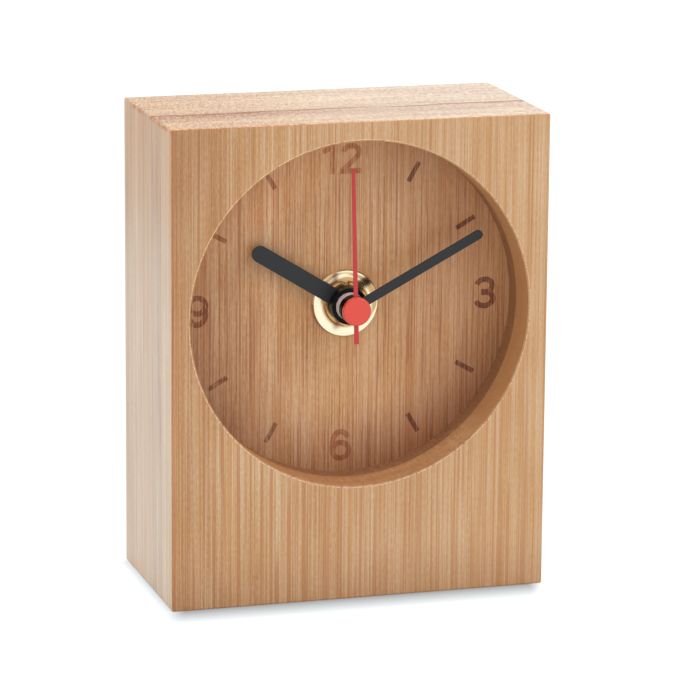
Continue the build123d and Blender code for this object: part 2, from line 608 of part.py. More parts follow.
def setting_stem():
    """Knob shaft with the pinion that turns the minute wheel."""
    phase = meshed(MINUTE_TEETH, minute_wheel_phase(), CANNON_TEETH, STEM_BEARING)
    stem = rod(STEM_RADIUS, ARBOR_FRONT, MOVEMENT_BACK + KNOB_GAP + KNOB_GRIP_DEPTH, STEM_AT)
    return stem + slab(gear(CANNON_TEETH, MINUTE_MODULE, phase), MINUTE_LAYER, MINUTE_LAYER + GEAR_FACE, STEM_AT)


def setting_knob():
    """Fluted knob with a blind bore for its stem."""
    front = MOVEMENT_BACK + KNOB_GAP
    flutes = PolarLocations(KNOB_RADIUS, KNOB_FLUTES) * Circle(KNOB_FLUTE_RADIUS)
    knob = slab(Circle(KNOB_RADIUS) - flutes, front, front + KNOB_THICKNESS, STEM_AT)
    bore_end = front + KNOB_GRIP_DEPTH + SEAT_FIT
    return knob - rod(STEM_RADIUS + SEAT_FIT, front - CUT_OVERRUN, bore_end, STEM_AT)


def centre_wheel():
    """Wheel with the slipping fit on the minute pipe."""
    phase = meshed(PINION_TEETH, THIRD_BEARING, CENTRE_TEETH, THIRD_BEARING - pi)
    wheel = gear(CENTRE_TEETH, CENTRE_MODULE, phase) - Circle(MINUTE_PIPE_RADIUS + RUNNING_FIT)
    return slab(wheel, CENTRE_LAYER, CENTRE_LAYER + GEAR_FACE)


def train_wheel(wheel_sketch, wheel_layer, pinion_sketch, pinion_layer, at, front=ARBOR_FRONT):
    """Wheel, pinion and arbor moulded in one, with the rear pivot in the bridge."""
    near = min(wheel_layer, pinion_layer)
    far = max(wheel_layer, pinion_layer)
    whole = slab(wheel_sketch, wheel_layer, wheel_layer + GEAR_FACE, at)
    whole += slab(pinion_sketch, pinion_layer, pinion_layer + GEAR_FACE, at)
    whole += rod(ARBOR_RADIUS, front, BRIDGE_BACK, at)
    return whole + rod(ARBOR_RADIUS + PINION_WEB, near + GEAR_FACE, far, at)


def third_wheel():
    wheel = gear(THIRD_TEETH, THIRD_MODULE, meshed(PINION_TEETH, THIRD_BEARING, THIRD_TEETH, THIRD_BEARING))
    pinion = gear(PINION_TEETH, CENTRE_MODULE, THIRD_BEARING)
    return train_wheel(wheel, THIRD_LAYER, pinion, CENTRE_LAYER, THIRD_AT)


def second_wheel():
    """Second wheel, whose long arbor runs through the minute pipe and carries the red hand."""
    phase = meshed(PINION_TEETH, FIFTH_BEARING, SECOND_TEETH, FIFTH_BEARING - pi)
    wheel = gear(SECOND_TEETH, SECOND_MODULE, phase)
    pinion = gear(PINION_TEETH, THIRD_MODULE, THIRD_BEARING)
    return train_wheel(wheel, SECOND_LAYER, pinion, THIRD_LAYER, CENTRE, SECOND_ARBOR_TOP)


def fifth_wheel():
    phase = meshed(PINION_TEETH, ROTOR_BEARING, FIFTH_TEETH, ROTOR_BEARING - pi)
    wheel = gear(FIFTH_TEETH, ROTOR_MODULE, phase)
    pinion = gear(PINION_TEETH, SECOND_MODULE, FIFTH_BEARING)
    return train_wheel(wheel, FIFTH_LAYER, pinion, SECOND_LAYER, FIFTH_AT)


def rotor_pinion():
    """Rotor arbor with its pinion."""
    pinion = slab(gear(PINION_TEETH, ROTOR_MODULE, ROTOR_BEARING), FIFTH_LAYER, MAGNET_FRONT, ROTOR_AT)
    return pinion + rod(ARBOR_RADIUS, ARBOR_FRONT, BRIDGE_BACK, ROTOR_AT)


def rotor_magnet():
    return tube(ROTOR_RADIUS, ARBOR_RADIUS + SEAT_FIT, MAGNET_FRONT, MAGNET_BACK, ROTOR_AT)


def blade(width, reach, disc_radius, bore, back, angle):
    """Flat hand with parallel sides and a round end on a ring, turned clockwise from twelve."""
    tip_centre = reach - width / 2
    outline = Circle(disc_radius) + Pos(0, tip_centre / 2) * Rectangle(width, tip_centre)
    outline += Pos(0, tip_centre) * Circle(width / 2)
    sketch = Rot(0, 0, -angle * 180 / pi) * (outline - Circle(bore))
    return slab(sketch, back - HAND_SHEET, back)


def hand_bush(radius, spigot_wall, pipe_radius, back, front):
    """Bush of a hand: a spigot through the blade's ring and a broader collar in front of it."""
    bore = pipe_radius + SEAT_FIT
    bush = tube(bore + spigot_wall, bore, back - HAND_SHEET, back)
    return bush + tube(radius, bore, front, back - HAND_SHEET)


def hour_hand_bush():
    return hand_bush(HOUR_BUSH_RADIUS, HOUR_SPIGOT_WALL, HOUR_PIPE_RADIUS, HOUR_HAND_BACK, HOUR_BUSH_TOP)


def hour_hand_blade():
    bore = HOUR_PIPE_RADIUS + HOUR_SPIGOT_WALL + 2 * SEAT_FIT
    return blade(HOUR_WIDTH, RECESS_RADIUS - HOUR_TIP_GAP, HOUR_BUSH_RADIUS, bore, HOUR_HAND_BACK, HOUR_ANGLE)


def minute_hand_bush():
    return hand_bush(MINUTE_BUSH_RADIUS, MINUTE_SPIGOT_WALL, MINUTE_PIPE_RADIUS, MINUTE_HAND_BACK,
                     MINUTE_BUSH_TOP)


def minute_hand_blade():
    bore = MINUTE_PIPE_RADIUS + MINUTE_SPIGOT_WALL + 2 * SEAT_FIT
    return blade(MINUTE_WIDTH, RECESS_RADIUS - MINUTE_TIP_GAP, MINUTE_BUSH_RADIUS, bore, MINUTE_HAND_BACK,
                 MINUTE_ANGLE)


def second_hand_blade():
    """Thin tapered hand with a square tail, a disc under the cap and a tube on the arbor."""
    reach = RECESS_RADIUS - SECOND_TIP_GAP
    half_root, half_tip = SECOND_ROOT_WIDTH / 2, SECOND_TIP_WIDTH / 2
    corners = [
        (-half_root, -SECOND_TAIL),
        (half_root, -SECOND_TAIL),
        (half_root, 0),
        (half_tip, reach),
        (-half_tip, reach),
        (-half_root, 0),
    ]
    outline = make_face(Polyline(*corners, close=True)) + Circle(SECOND_DISC_RADIUS)
    turned_outline = Rot(0, 0, -SECOND_ANGLE * 180 / pi) * outline
    hand = slab(turned_outline, SECOND_HAND_FRONT, SECOND_HAND_BACK)
    bore = ARBOR_RADIUS + SEAT_FIT
    hand += rod(bore + SECOND_TUBE_WALL, SECOND_HAND_BACK, SECOND_TUBE_BACK)
    return hand - rod(bore, SECOND_HAND_FRONT - CUT_OVERRUN, SECOND_TUBE_BACK + CUT_OVERRUN)


def second_hand_cap():
    """Round cap over the middle of the second hand, with a blind bore for the arbor's end."""
    cap = rod(CAP_RADIUS, CAP_FRONT, SECOND_HAND_FRONT)
    cap = fillet(cap.edges().group_by(Axis.Y)[0], CAP_ROUND)
    return cap - rod(ARBOR_RADIUS + SEAT_FIT, SECOND_ARBOR_TOP - SEAT_FIT, SECOND_HAND_FRONT + CUT_OVERRUN)


PIECES = (
    dial_gasket, dial_nut, threaded_bush, movement_front_case, movement_rear_case, gear_bridge,
    circuit_board, control_chip, quartz_crystal, stator, coil_core, coil_bobbin, coil_winding,
    battery_can, battery_jacket, hour_wheel, minute_pipe, minute_wheel, setting_stem, setting_knob,
    centre_wheel, third_wheel, second_wheel, fifth_wheel, rotor_pinion, rotor_magnet,
    hour_hand_bush, hour_hand_blade, minute_hand_bush, minute_hand_blade, second_hand_blade,
    second_hand_cap,
)


def build():
    """Every piece under its name."""
    parts = case_plies()
    for piece in PIECES:
        parts[piece.__name__] = piece()
    parts["positive_contact"] = battery_contact(1)
    parts["negative_contact"] = battery_contact(-1)
    return parts


os.makedirs("parts", exist_ok=True)
for name, shape in build().items():
    shape.label = name
    export_step(shape, f"parts/{name}.step")
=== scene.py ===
# %% [markdown]
# # A table clock in laminated bamboo
# The clock is a block of five glued bamboo boards with a round, open recess for the dial and a quartz
# movement behind it. The solids are already at their real size and place, so this lesson gives them their
# finish (the grain, the metal, the paint and the mouldings) and adds the burnt marks of the dial and the
# small raised signs on the back of the movement.

# %% Load the frame
import json
import bpy
import numpy as np
from mathutils import Matrix, Vector


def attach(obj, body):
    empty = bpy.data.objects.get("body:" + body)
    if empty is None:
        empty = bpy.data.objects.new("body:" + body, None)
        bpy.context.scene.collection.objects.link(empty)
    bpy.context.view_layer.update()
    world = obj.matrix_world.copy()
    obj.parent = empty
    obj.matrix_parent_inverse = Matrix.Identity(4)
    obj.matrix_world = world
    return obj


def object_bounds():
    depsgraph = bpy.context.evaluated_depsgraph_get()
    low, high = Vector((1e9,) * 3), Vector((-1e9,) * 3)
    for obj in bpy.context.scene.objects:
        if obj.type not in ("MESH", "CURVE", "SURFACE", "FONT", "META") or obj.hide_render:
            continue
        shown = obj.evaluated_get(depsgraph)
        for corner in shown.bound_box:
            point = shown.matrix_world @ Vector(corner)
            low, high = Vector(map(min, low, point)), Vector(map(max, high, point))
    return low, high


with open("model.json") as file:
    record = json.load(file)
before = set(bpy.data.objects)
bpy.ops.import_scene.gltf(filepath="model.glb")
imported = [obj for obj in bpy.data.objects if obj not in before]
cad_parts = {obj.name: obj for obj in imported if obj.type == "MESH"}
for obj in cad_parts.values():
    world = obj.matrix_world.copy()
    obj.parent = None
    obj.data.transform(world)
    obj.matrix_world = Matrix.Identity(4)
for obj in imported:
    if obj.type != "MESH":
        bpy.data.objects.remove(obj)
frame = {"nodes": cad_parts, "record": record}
cad_box = [list(corner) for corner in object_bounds()]
nodes = frame["nodes"]
MM = 0.001

# %% [markdown]
# ## The camera
# A product photograph is taken from far away with a long lens, so upright edges stay nearly parallel.
# A camera could be placed by eye, but here its direction, distance and focal length were worked out
# from the corners of the block, and the lens follows from the focal length in pixels.

# %% Camera
PHOTO_SIDE = 700
FOCAL_PIXELS = 3999.0
SENSOR_MM = 36.0
AZIMUTH, ELEVATION, ROLL = np.radians((-16.782, 13.328, 0.482))
DISTANCE = 835.894 * MM
AIM_OFFSET = (3.396 * MM, -1.796 * MM)
NEAREST = 10 * MM


def camera_axes(azimuth, elevation, roll):
    """Right, up and backward unit vectors of a camera that looks at the block from an angle."""
    level_reach = np.cos(elevation)
    back = np.array((np.sin(azimuth) * level_reach, -np.cos(azimuth) * level_reach, np.sin(elevation)))
    level = np.array((np.cos(azimuth), np.sin(azimuth), 0.0))
    upright = np.cross(back, level)
    right = np.cos(roll) * level + np.sin(roll) * upright
    up = np.cos(roll) * upright - np.sin(roll) * level
    return right, up, back


scene = bpy.context.scene
right, up, back = camera_axes(AZIMUTH, ELEVATION, ROLL)
middle = np.mean(cad_box, axis=0)
eye = middle + AIM_OFFSET[0] * right + AIM_OFFSET[1] * up + DISTANCE * back
camera = bpy.data.objects.new("camera", bpy.data.cameras.new("camera"))
camera.data.sensor_width = SENSOR_MM
camera.data.lens = FOCAL_PIXELS / PHOTO_SIDE * SENSOR_MM
camera.data.clip_start = NEAREST
stance = Matrix(np.column_stack((right, up, back))).to_4x4()
camera.matrix_world = Matrix.Translation(Vector(eye)) @ stance
scene.collection.objects.link(camera)
scene.camera = camera
print("camera at", eye.round(4), "lens", round(camera.data.lens, 1), "mm")

# %% [markdown]
# ## Node helpers
# Every finish here is built from shader nodes. Adding nodes one by one takes many lines, so a few small
# helpers do it: one adds a node and fills its sockets, the others are sums, soft steps, mixes and noise.

# %% Helpers for shader nodes
def put(tree, kind, inputs=(), **options):
    """Adds one shader node, sets its options, then fills its sockets with values or links."""
    made = tree.nodes.new("ShaderNode" + kind)
    for option, value in options.items():
        setattr(made, option, value)
    for socket, value in dict(inputs).items():
        if isinstance(value, bpy.types.NodeSocket):
            tree.links.new(value, made.inputs[socket])
        else:
            made.inputs[socket].default_value = value
    return made


def calc(tree, operation, first, second=0.0):
    """Result of one sum on two values."""
    return put(tree, "Math", {0: first, 1: second}, operation=operation).outputs[0]


def product(tree, *values):
    """All the values multiplied together."""
    result = values[0]
    for value in values[1:]:
        result = calc(tree, "MULTIPLY", result, value)
    return result


def total(tree, *values):
    """All the values added together."""
    result = values[0]
    for value in values[1:]:
        result = calc(tree, "ADD", result, value)
    return result


def centred(tree, value, weight):
    """Noise moved to lie about zero, times a weight."""
    return calc(tree, "MULTIPLY", calc(tree, "SUBTRACT", value, 0.5), weight)


def ease(tree, value, low, high):
    """Soft step: 0 at low, 1 at high, and flat beyond both."""
    limits = {"Value": value, "From Min": low, "From Max": high}
    return put(tree, "MapRange", limits, interpolation_type="SMOOTHSTEP").outputs["Result"]


print("sums and soft steps ready")

# %% Helpers for colours and places
MIX_SHARE, MIX_FIRST, MIX_SECOND, MIX_RESULT = 0, 6, 7, 2
LAYERED = 2.0
CRISP, HARSH = 0.6, 0.7
SCREEN_TOE, TOE_SLOPE, CURVE_OFFSET, CURVE_POWER = 0.04045, 12.92, 0.055, 2.4


def mixed(tree, share, first, second, blend="MIX"):
    """Second colour laid over the first by a share; a mix of colours has its sockets at these numbers."""
    inputs = {MIX_SHARE: share, MIX_FIRST: first, MIX_SECOND: second}
    return put(tree, "Mix", inputs, data_type="RGBA", blend_type=blend).outputs[MIX_RESULT]


def spread(tree, place, counts):
    """Place multiplied along x, y and z, so that a pattern has so many patches to the millimetre."""
    return put(tree, "VectorMath", {0: place, 1: counts}, operation="MULTIPLY").outputs[0]


def noise(tree, place, counts, detail=1.0, roughness=0.5):
    """Cloudy value near one half, with so many patches to the millimetre along x, y and z.
    A layered noise has finer noise on top, which a crisp or harsh roughness makes stronger.
    """
    where = spread(tree, place, counts)
    settings = {"Vector": where, "Scale": 1.0, "Detail": detail, "Roughness": roughness}
    return put(tree, "TexNoise", settings).outputs["Fac"]


def tinted(tree, shade, level):
    """Colour made lighter or darker by a level."""
    return put(tree, "VectorMath", {0: shade, "Scale": level}, operation="SCALE").outputs[0]


def split(tree, vector):
    """The x, y and z of a vector."""
    return put(tree, "SeparateXYZ", {0: vector}).outputs


def ramp(tree, value, stops):
    """Colour read off a row of stops."""
    made = put(tree, "ValToRGB", {0: value})
    scale = made.color_ramp.elements
    while len(scale) < len(stops):
        scale.new(0.5)
    for element, (position, shade) in zip(scale, stops):
        element.position = position
        element.color = shade
    return made.outputs[0]


def colour(red, green, blue):
    """Screen colour from 0 to 255 as the linear colour that a socket takes.
    The screen curve is a power of 2.4 with a straight toe for the darkest values.
    """
    screen = np.array((red, green, blue)) / 255
    curve = ((screen + CURVE_OFFSET) / (1 + CURVE_OFFSET)) ** CURVE_POWER
    linear = np.where(screen <= SCREEN_TOE, screen / TOE_SLOPE, curve)
    return (*linear.tolist(), 1.0)


print("colour helpers ready; mid grey is", round(colour(128, 128, 128)[0], 3), "in linear light")

# %% Helpers for materials and groups
def new_group(name, inputs, outputs):
    """Empty node group with named sockets: its tree, what comes in and what goes out."""
    tree = bpy.data.node_groups.new(name, "ShaderNodeTree")
    for socket, kind in inputs.items():
        tree.interface.new_socket(socket, in_out="INPUT", socket_type="NodeSocket" + kind)
    for socket, kind in outputs.items():
        tree.interface.new_socket(socket, in_out="OUTPUT", socket_type="NodeSocket" + kind)
    return tree, tree.nodes.new("NodeGroupInput").outputs, tree.nodes.new("NodeGroupOutput").inputs


def new_material(name):
    """Empty material: itself, its tree, its shader, and its place in millimetres and facing."""
    made = bpy.data.materials.new(name)
    made.use_nodes = True
    tree = made.node_tree
    tree.nodes.clear()
    shader = put(tree, "BsdfPrincipled")
    output = put(tree, "OutputMaterial")
    tree.links.new(shader.outputs[0], output.inputs["Surface"])
    where = put(tree, "TexCoord").outputs
    place = put(tree, "VectorMath", {0: where["Object"], "Scale": 1 / MM}, operation="SCALE").outputs[0]
    return made, tree, shader, place, where["Normal"]


def connect(tree, shader, colour_out, roughness_out=None, height_out=None, bump_mm=0.0):
    """Links a finish to the shader; a height in millimetres goes through a Bump node."""
    tree.links.new(colour_out, shader.inputs["Base Color"])
    if roughness_out is not None:
        tree.links.new(roughness_out, shader.inputs["Roughness"])
    if height_out is not None:
        bump = put(tree, "Bump", {"Height": height_out, "Distance": bump_mm * MM})
        tree.links.new(bump.outputs[0], shader.inputs["Normal"])


def dress(node_names, material):
    """Gives solids of the frame a finish in place of their plain one."""
    for name in node_names:
        nodes[name].data.materials[0] = material


print("material helpers ready")

# %% [markdown]
# ## The studio
# The photograph has a white ground, a narrow shadow where the block stands and no hard light. A bright
# lamp on a white floor would give the white but would also bleach the wood. So the world lights the scene
# evenly, broad lamps give direction, and what the camera or a mirror sees of the world and floor glows.
# The floor glows less close to the foot of the block, and furthest out in front, which leaves its soft
# shadow. The sheen on the side of the block fades upwards as it does in the photograph, because mirrors see
# the floor grow dimmer far behind.

# %% World and lamps
WORLD_FILL = 0.75
KEY_WATTS, KEY_SIDE = 4.0, 0.9
KEY_PLACE = (0.75, -0.75, 0.85)
SKY_WATTS, SKY_SIDE = 3.6, 1.2
SKY_PLACE = (0.0, -0.1, 1.3)
LEFT_WATTS, LEFT_SIDE = 1.8, 0.8
LEFT_PLACE = (-1.1, -0.3, 0.4)


def seen_directly(tree):
    """1 for rays from the camera, a mirror or a glass, 0 for light on its way to a dull surface."""
    path = put(tree, "LightPath").outputs
    mirror = calc(tree, "MAXIMUM", path["Is Glossy Ray"], path["Is Transmission Ray"])
    return calc(tree, "MAXIMUM", path["Is Camera Ray"], mirror)


def softbox(name, place, side, watts):
    """Square lamp that faces the middle of the block."""
    lamp = bpy.data.lights.new(name, "AREA")
    lamp.energy = watts
    lamp.size = side
    made = bpy.data.objects.new(name, lamp)
    made.location = place
    made.rotation_euler = (Vector(middle) - Vector(place)).to_track_quat("-Z", "Y").to_euler()
    scene.collection.objects.link(made)
    return made


scene.view_settings.view_transform = "Standard"
world = bpy.data.worlds.new("white studio")
scene.world = world
world.use_nodes = True
sky = world.node_tree
levels = {"Value": seen_directly(sky), "To Min": WORLD_FILL, "To Max": 1.0}
sky.nodes["Background"].inputs["Color"].default_value = colour(255, 255, 255)
sky.links.new(put(sky, "MapRange", levels).outputs["Result"], sky.nodes["Background"].inputs["Strength"])
softbox("key_lamp", KEY_PLACE, KEY_SIDE, KEY_WATTS)
softbox("overhead_lamp", SKY_PLACE, SKY_SIDE, SKY_WATTS)
softbox("left_lamp", LEFT_PLACE, LEFT_SIDE, LEFT_WATTS).visible_glossy = False
print("world fill", WORLD_FILL, "and three softboxes")

# %% Floor
FLOOR_SIDE = 6.0
FLOOR_GLOW = 0.82
SHADOW_LEVEL = 0.2
SHADOW_LEAN = 0.3
SHADOW_INSET = 3.0
FRONT_REACH, LEFT_REACH, BACK_REACH = 9.0, 1.8, 1.2
DIM_START, DIM_END, DIM_SHARE = 290.0, 420.0, 0.5
PAPER_PATCHES = (0.02, 0.02, 0.02)
PAPER_DARK, PAPER_LIGHT = colour(240, 242, 243), colour(244, 245, 246)
PAPER_ROUGHNESS, PAPER_GLOSS = 0.9, 0.1
GLOW_WHITE = colour(250, 255, 255)
SHADE_GREY = colour(144, 150, 156)


def floor_sheet(side):
    """Flat sheet through the origin: its corners are half a side to the left, right, front and back."""
    corners = np.array(((-1, -1, 0), (1, -1, 0), (1, 1, 0), (-1, 1, 0))) * side / 2
    mesh = bpy.data.meshes.new("floor")
    mesh.from_pydata(corners.tolist(), [], [(0, 1, 2, 3)])
    made = bpy.data.objects.new("floor", mesh)
    scene.collection.objects.link(made)
    return made


def beyond(tree, higher, lower, reach):
    """How far one place lies past another, as a share of a reach, or 0 where it doesn't."""
    share = calc(tree, "DIVIDE", calc(tree, "SUBTRACT", higher, lower), reach)
    return calc(tree, "MAXIMUM", share, 0.0)


def foot_shadow(tree, place):
    """Light left on the floor: lowest at the block's front foot, and 1 past the reach on each side."""
    x, y, _ = split(tree, place)
    (left, front, _), (right, rear, _) = np.array(cad_box) / MM
    x = total(tree, x, product(tree, beyond(tree, front, y, 1.0), SHADOW_LEAN))
    to_left = beyond(tree, left + SHADOW_INSET, x, SHADOW_INSET + LEFT_REACH)
    to_right = beyond(tree, x, right - SHADOW_INSET, SHADOW_INSET)
    to_back = beyond(tree, y, rear - SHADOW_INSET, SHADOW_INSET + BACK_REACH)
    across = calc(tree, "MAXIMUM", to_left, to_right)
    along = calc(tree, "MAXIMUM", beyond(tree, front, y, FRONT_REACH), to_back)
    away = calc(tree, "SQRT", total(tree, product(tree, across, across), product(tree, along, along)))
    light = {"Value": away, "To Min": SHADOW_LEVEL, "To Max": 1.0}
    return put(tree, "MapRange", light).outputs["Result"]


floor = floor_sheet(FLOOR_SIDE)
paper, tree, shader, place, _ = new_material("white_paper")
shader.inputs["Roughness"].default_value = PAPER_ROUGHNESS
shader.inputs["Specular IOR Level"].default_value = PAPER_GLOSS
paper_white = mixed(tree, noise(tree, place, PAPER_PATCHES), PAPER_DARK, PAPER_LIGHT)
seen = seen_directly(tree)
connect(tree, shader, mixed(tree, seen, paper_white, SHADE_GREY))
mirrored = put(tree, "LightPath").outputs["Is Glossy Ray"]
dim = product(tree, mirrored, ease(tree, split(tree, place)[1], DIM_START, DIM_END), -DIM_SHARE)
glow = product(tree, seen, foot_shadow(tree, place), FLOOR_GLOW, total(tree, 1.0, dim))
shader.inputs["Emission Color"].default_value = GLOW_WHITE
tree.links.new(glow, shader.inputs["Emission Strength"])
floor.data.materials.append(paper)
print("floor", FLOOR_SIDE, "m wide, glow", FLOOR_GLOW)

# %% [markdown]
# ## Bamboo
# Each board is made of upright bamboo strips. On a long face the fibres are hundreds of straight, fine
# lines that run the whole height; on the top they are cut across and show as speckle. An image would
# repeat and stretch, so noise is drawn out along z instead: many patches to the millimetre across the
# grain and very few along it. The thin veins are contour lines of such noise, where it passes one half.
# The same group serves the boards and the burnt marks. It also knows the block: the glue lines between
# the boards, the turned recess with a painted highlight on its rim and painted shade on the dial, orange
# along the edges, amber spots near the top of the sides, and painted light and shade over the faces.

# %% Bamboo group, fibres
HALF_WIDTH = 40.0
STRIP_PATCHES = (0.3, 0.2, 0.004)
LINE_PATCHES = (1.5, 0.6, 0.008)
HAIR_PATCHES, HAIR_WEIGHT = (4.4, 1.8, 0.016), 0.9
TONE_PATCHES, TONE_WEIGHT = (0.16, 0.16, 0.05), 0.6
SPECK_PATCHES, SPECK_WEIGHT = (3.0, 3.0, 0.9), 0.6
FACING_RANGE = (0.5, 0.8)
SIDE_CALM = 0.35
BOLD_LEAST, BOLD_GAIN = 0.87, 0.38

bamboo, came, goes = new_group(
    "bamboo",
    {
        "Place": "Vector", "Facing": "Vector", "Shift": "Vector", "Strips": "Float", "Lines": "Float",
        "Veins": "Float", "Pores": "Float", "Band": "Float", "Smooth": "Float", "Wall": "Color",
        "Left": "Color", "Middle": "Color", "Right": "Color", "Half": "Float", "Edge": "Color",
    },
    {"Colour": "Color", "Grain": "Float", "Roughness": "Float", "Coat": "Float", "Height": "Float"},
)
shifted = put(bamboo, "VectorMath", {0: came["Place"], 1: came["Shift"]}, operation="ADD").outputs[0]
at_x, at_y, at_z = split(bamboo, came["Place"])
side_x, side_y, side_z = split(bamboo, came["Facing"])
grain = total(
    bamboo,
    centred(bamboo, noise(bamboo, shifted, STRIP_PATCHES), came["Strips"]),
    centred(bamboo, noise(bamboo, shifted, LINE_PATCHES, LAYERED, CRISP), came["Lines"]),
    centred(bamboo, noise(bamboo, shifted, HAIR_PATCHES), HAIR_WEIGHT),
    centred(bamboo, noise(bamboo, shifted, TONE_PATCHES, LAYERED), TONE_WEIGHT),
    centred(bamboo, noise(bamboo, shifted, SPECK_PATCHES), SPECK_WEIGHT),
)
side_share = ease(bamboo, calc(bamboo, "ABSOLUTE", side_x), *FACING_RANGE)
calm = total(bamboo, 1.0, product(bamboo, side_share, -SIDE_CALM))
to_left = ease(bamboo, at_x, HALF_WIDTH, -HALF_WIDTH)
calm = product(bamboo, calm, total(bamboo, BOLD_LEAST, product(bamboo, to_left, BOLD_GAIN)))
grain = total(bamboo, 0.5, product(bamboo, grain, calm))
print("bamboo fibres:", len(bamboo.nodes), "nodes")

# %% Bamboo group, colours of the long grain
GRAIN_STOPS = (
    (0.0, colour(176, 120, 58)),
    (0.3, colour(191, 142, 89)),
    (0.5, colour(200, 157, 111)),
    (0.72, colour(207, 169, 128)),
    (1.0, colour(219, 190, 154)),
)
AMBER = colour(200, 138, 64)
VEIN_BROWN = colour(180, 118, 56)
PORE_BROWN = colour(150, 82, 50)
AMBER_PATCHES, AMBER_RANGE, AMBER_SHARE = (2.8, 0.8, 0.01), (0.57, 0.61), 0.65
VEIN_PATCHES, VEIN_RANGE = (0.9, 0.35, 0.003), (0.045, 0.015)
BREAK_PATCHES, BREAK_RANGE = (0.8, 0.8, 0.03), (0.35, 0.55)
PORE_PATCHES, PORE_RANGE = (3.6, 1.8, 0.04), (0.56, 0.62)
MOST_PORES = 0.6

amber = ease(bamboo, noise(bamboo, shifted, AMBER_PATCHES), *AMBER_RANGE)
amber_most = total(bamboo, AMBER_SHARE, product(bamboo, came["Pores"], -AMBER_SHARE / MOST_PORES))
amber_share = product(bamboo, amber, calm, amber_most)
contour = calc(bamboo, "ABSOLUTE", centred(bamboo, noise(bamboo, shifted, VEIN_PATCHES, LAYERED), 1.0))
broken = ease(bamboo, noise(bamboo, shifted, BREAK_PATCHES), *BREAK_RANGE)
vein_share = product(bamboo, ease(bamboo, contour, *VEIN_RANGE), broken, calm, came["Veins"])
pores = ease(bamboo, noise(bamboo, shifted, PORE_PATCHES), *PORE_RANGE)
pore_share = product(bamboo, pores, came["Pores"])
long_colour = mixed(bamboo, amber_share, ramp(bamboo, grain, GRAIN_STOPS), AMBER)
long_colour = mixed(bamboo, vein_share, long_colour, VEIN_BROWN)
long_colour = mixed(bamboo, pore_share, long_colour, PORE_BROWN)
print("long grain of", len(GRAIN_STOPS), "shades")

# %% Bamboo group, end grain
END_STOPS = (
    (0.0, colour(138, 88, 52)),
    (0.35, colour(188, 140, 98)),
    (0.6, colour(208, 165, 120)),
    (1.0, colour(234, 200, 158)),
)
BAND_BROWN = colour(158, 80, 24)
TOP_LEFT = (1.06, 0.92, 0.7, 1.0)
TOP_RIGHT = (1.2, 1.32, 1.55, 1.0)
TOP_FRONT, FRONT_RANGE = (0.97, 0.91, 0.87, 1.0), (-2.0, -6.0)
END_LEVEL = 0.3
BUNDLE_PATCHES, BUNDLE_WEIGHT = (1.6, 0.5, 0.3), 0.6
SPECKLE_PATCHES, SPECKLE_LEAST, SPECKLE_GAIN = (2.4, 0.8, 0.4), 0.8, 2.4
STREAK_PATCHES = (0.03, 0.42, 0.1)
BAND_LEAST, BAND_ACROSS = 0.25, (-2.0, -24.0)
BAND_DEPTH, BAND_SPECKLE = (-12.0, -6.0), (0.62, 0.4)
END_FACING = (0.62, 0.78)

bundles = put(bamboo, "TexVoronoi", {"Vector": spread(bamboo, shifted, BUNDLE_PATCHES), "Scale": 1.0})
speckle = noise(bamboo, shifted, SPECKLE_PATCHES, LAYERED, HARSH)
rough_left = ease(bamboo, at_x, HALF_WIDTH / 4, -HALF_WIDTH)
end_tone = total(
    bamboo,
    END_LEVEL,
    centred(bamboo, speckle, total(bamboo, SPECKLE_LEAST, product(bamboo, rough_left, SPECKLE_GAIN))),
    centred(bamboo, noise(bamboo, shifted, STREAK_PATCHES, LAYERED), 1.0),
    product(bamboo, bundles.outputs["Distance"], BUNDLE_WEIGHT),
)
end_colour = ramp(bamboo, end_tone, END_STOPS)
band_place = total(bamboo, BAND_LEAST, product(bamboo, ease(bamboo, at_x, *BAND_ACROSS), 1 - BAND_LEAST))
band_fade = product(bamboo, ease(bamboo, at_y, *BAND_DEPTH), ease(bamboo, speckle, *BAND_SPECKLE))
band_share = product(bamboo, came["Band"], band_place, band_fade)
end_colour = mixed(bamboo, band_share, end_colour, BAND_BROWN)
top_tint = mixed(bamboo, ease(bamboo, at_x, -HALF_WIDTH, HALF_WIDTH), TOP_LEFT, TOP_RIGHT)
end_colour = mixed(bamboo, 1.0, end_colour, top_tint, "MULTIPLY")
end_colour = mixed(bamboo, ease(bamboo, at_y, *FRONT_RANGE), end_colour, TOP_FRONT, "MULTIPLY")
end_share = ease(bamboo, calc(bamboo, "ABSOLUTE", side_z), *END_FACING)
wood = mixed(bamboo, end_share, long_colour, end_colour)
print("end grain of", len(END_STOPS), "shades")

# %% Bamboo group, tints and glue lines
LEFT_FADE, RIGHT_FADE, RIGHT_LEAD = 12.0, 24.0, 15.0
FOOT = 13.0
FOOT_SHADE = (0.84, 0.79, 0.74, 1.0)
PLY = 8.0
HALF_DEPTH = 20.0
GLUE_BROWN, GLUE_RANGE = colour(128, 80, 52), (0.24, 0.06)
DARK_JOINT, JOINT_NEAR = -4.0, (2.0, 1.0)
JOINT_FAINT, JOINT_GAIN = 0.16, 0.5
SOAK_BROWN, SOAK_RANGE = colour(160, 86, 34), (1.5, 0.2)
BLOTCH_PATCHES, BLOTCH_RANGE = (0.12, 0.4, 0.1), (0.35, 0.6)

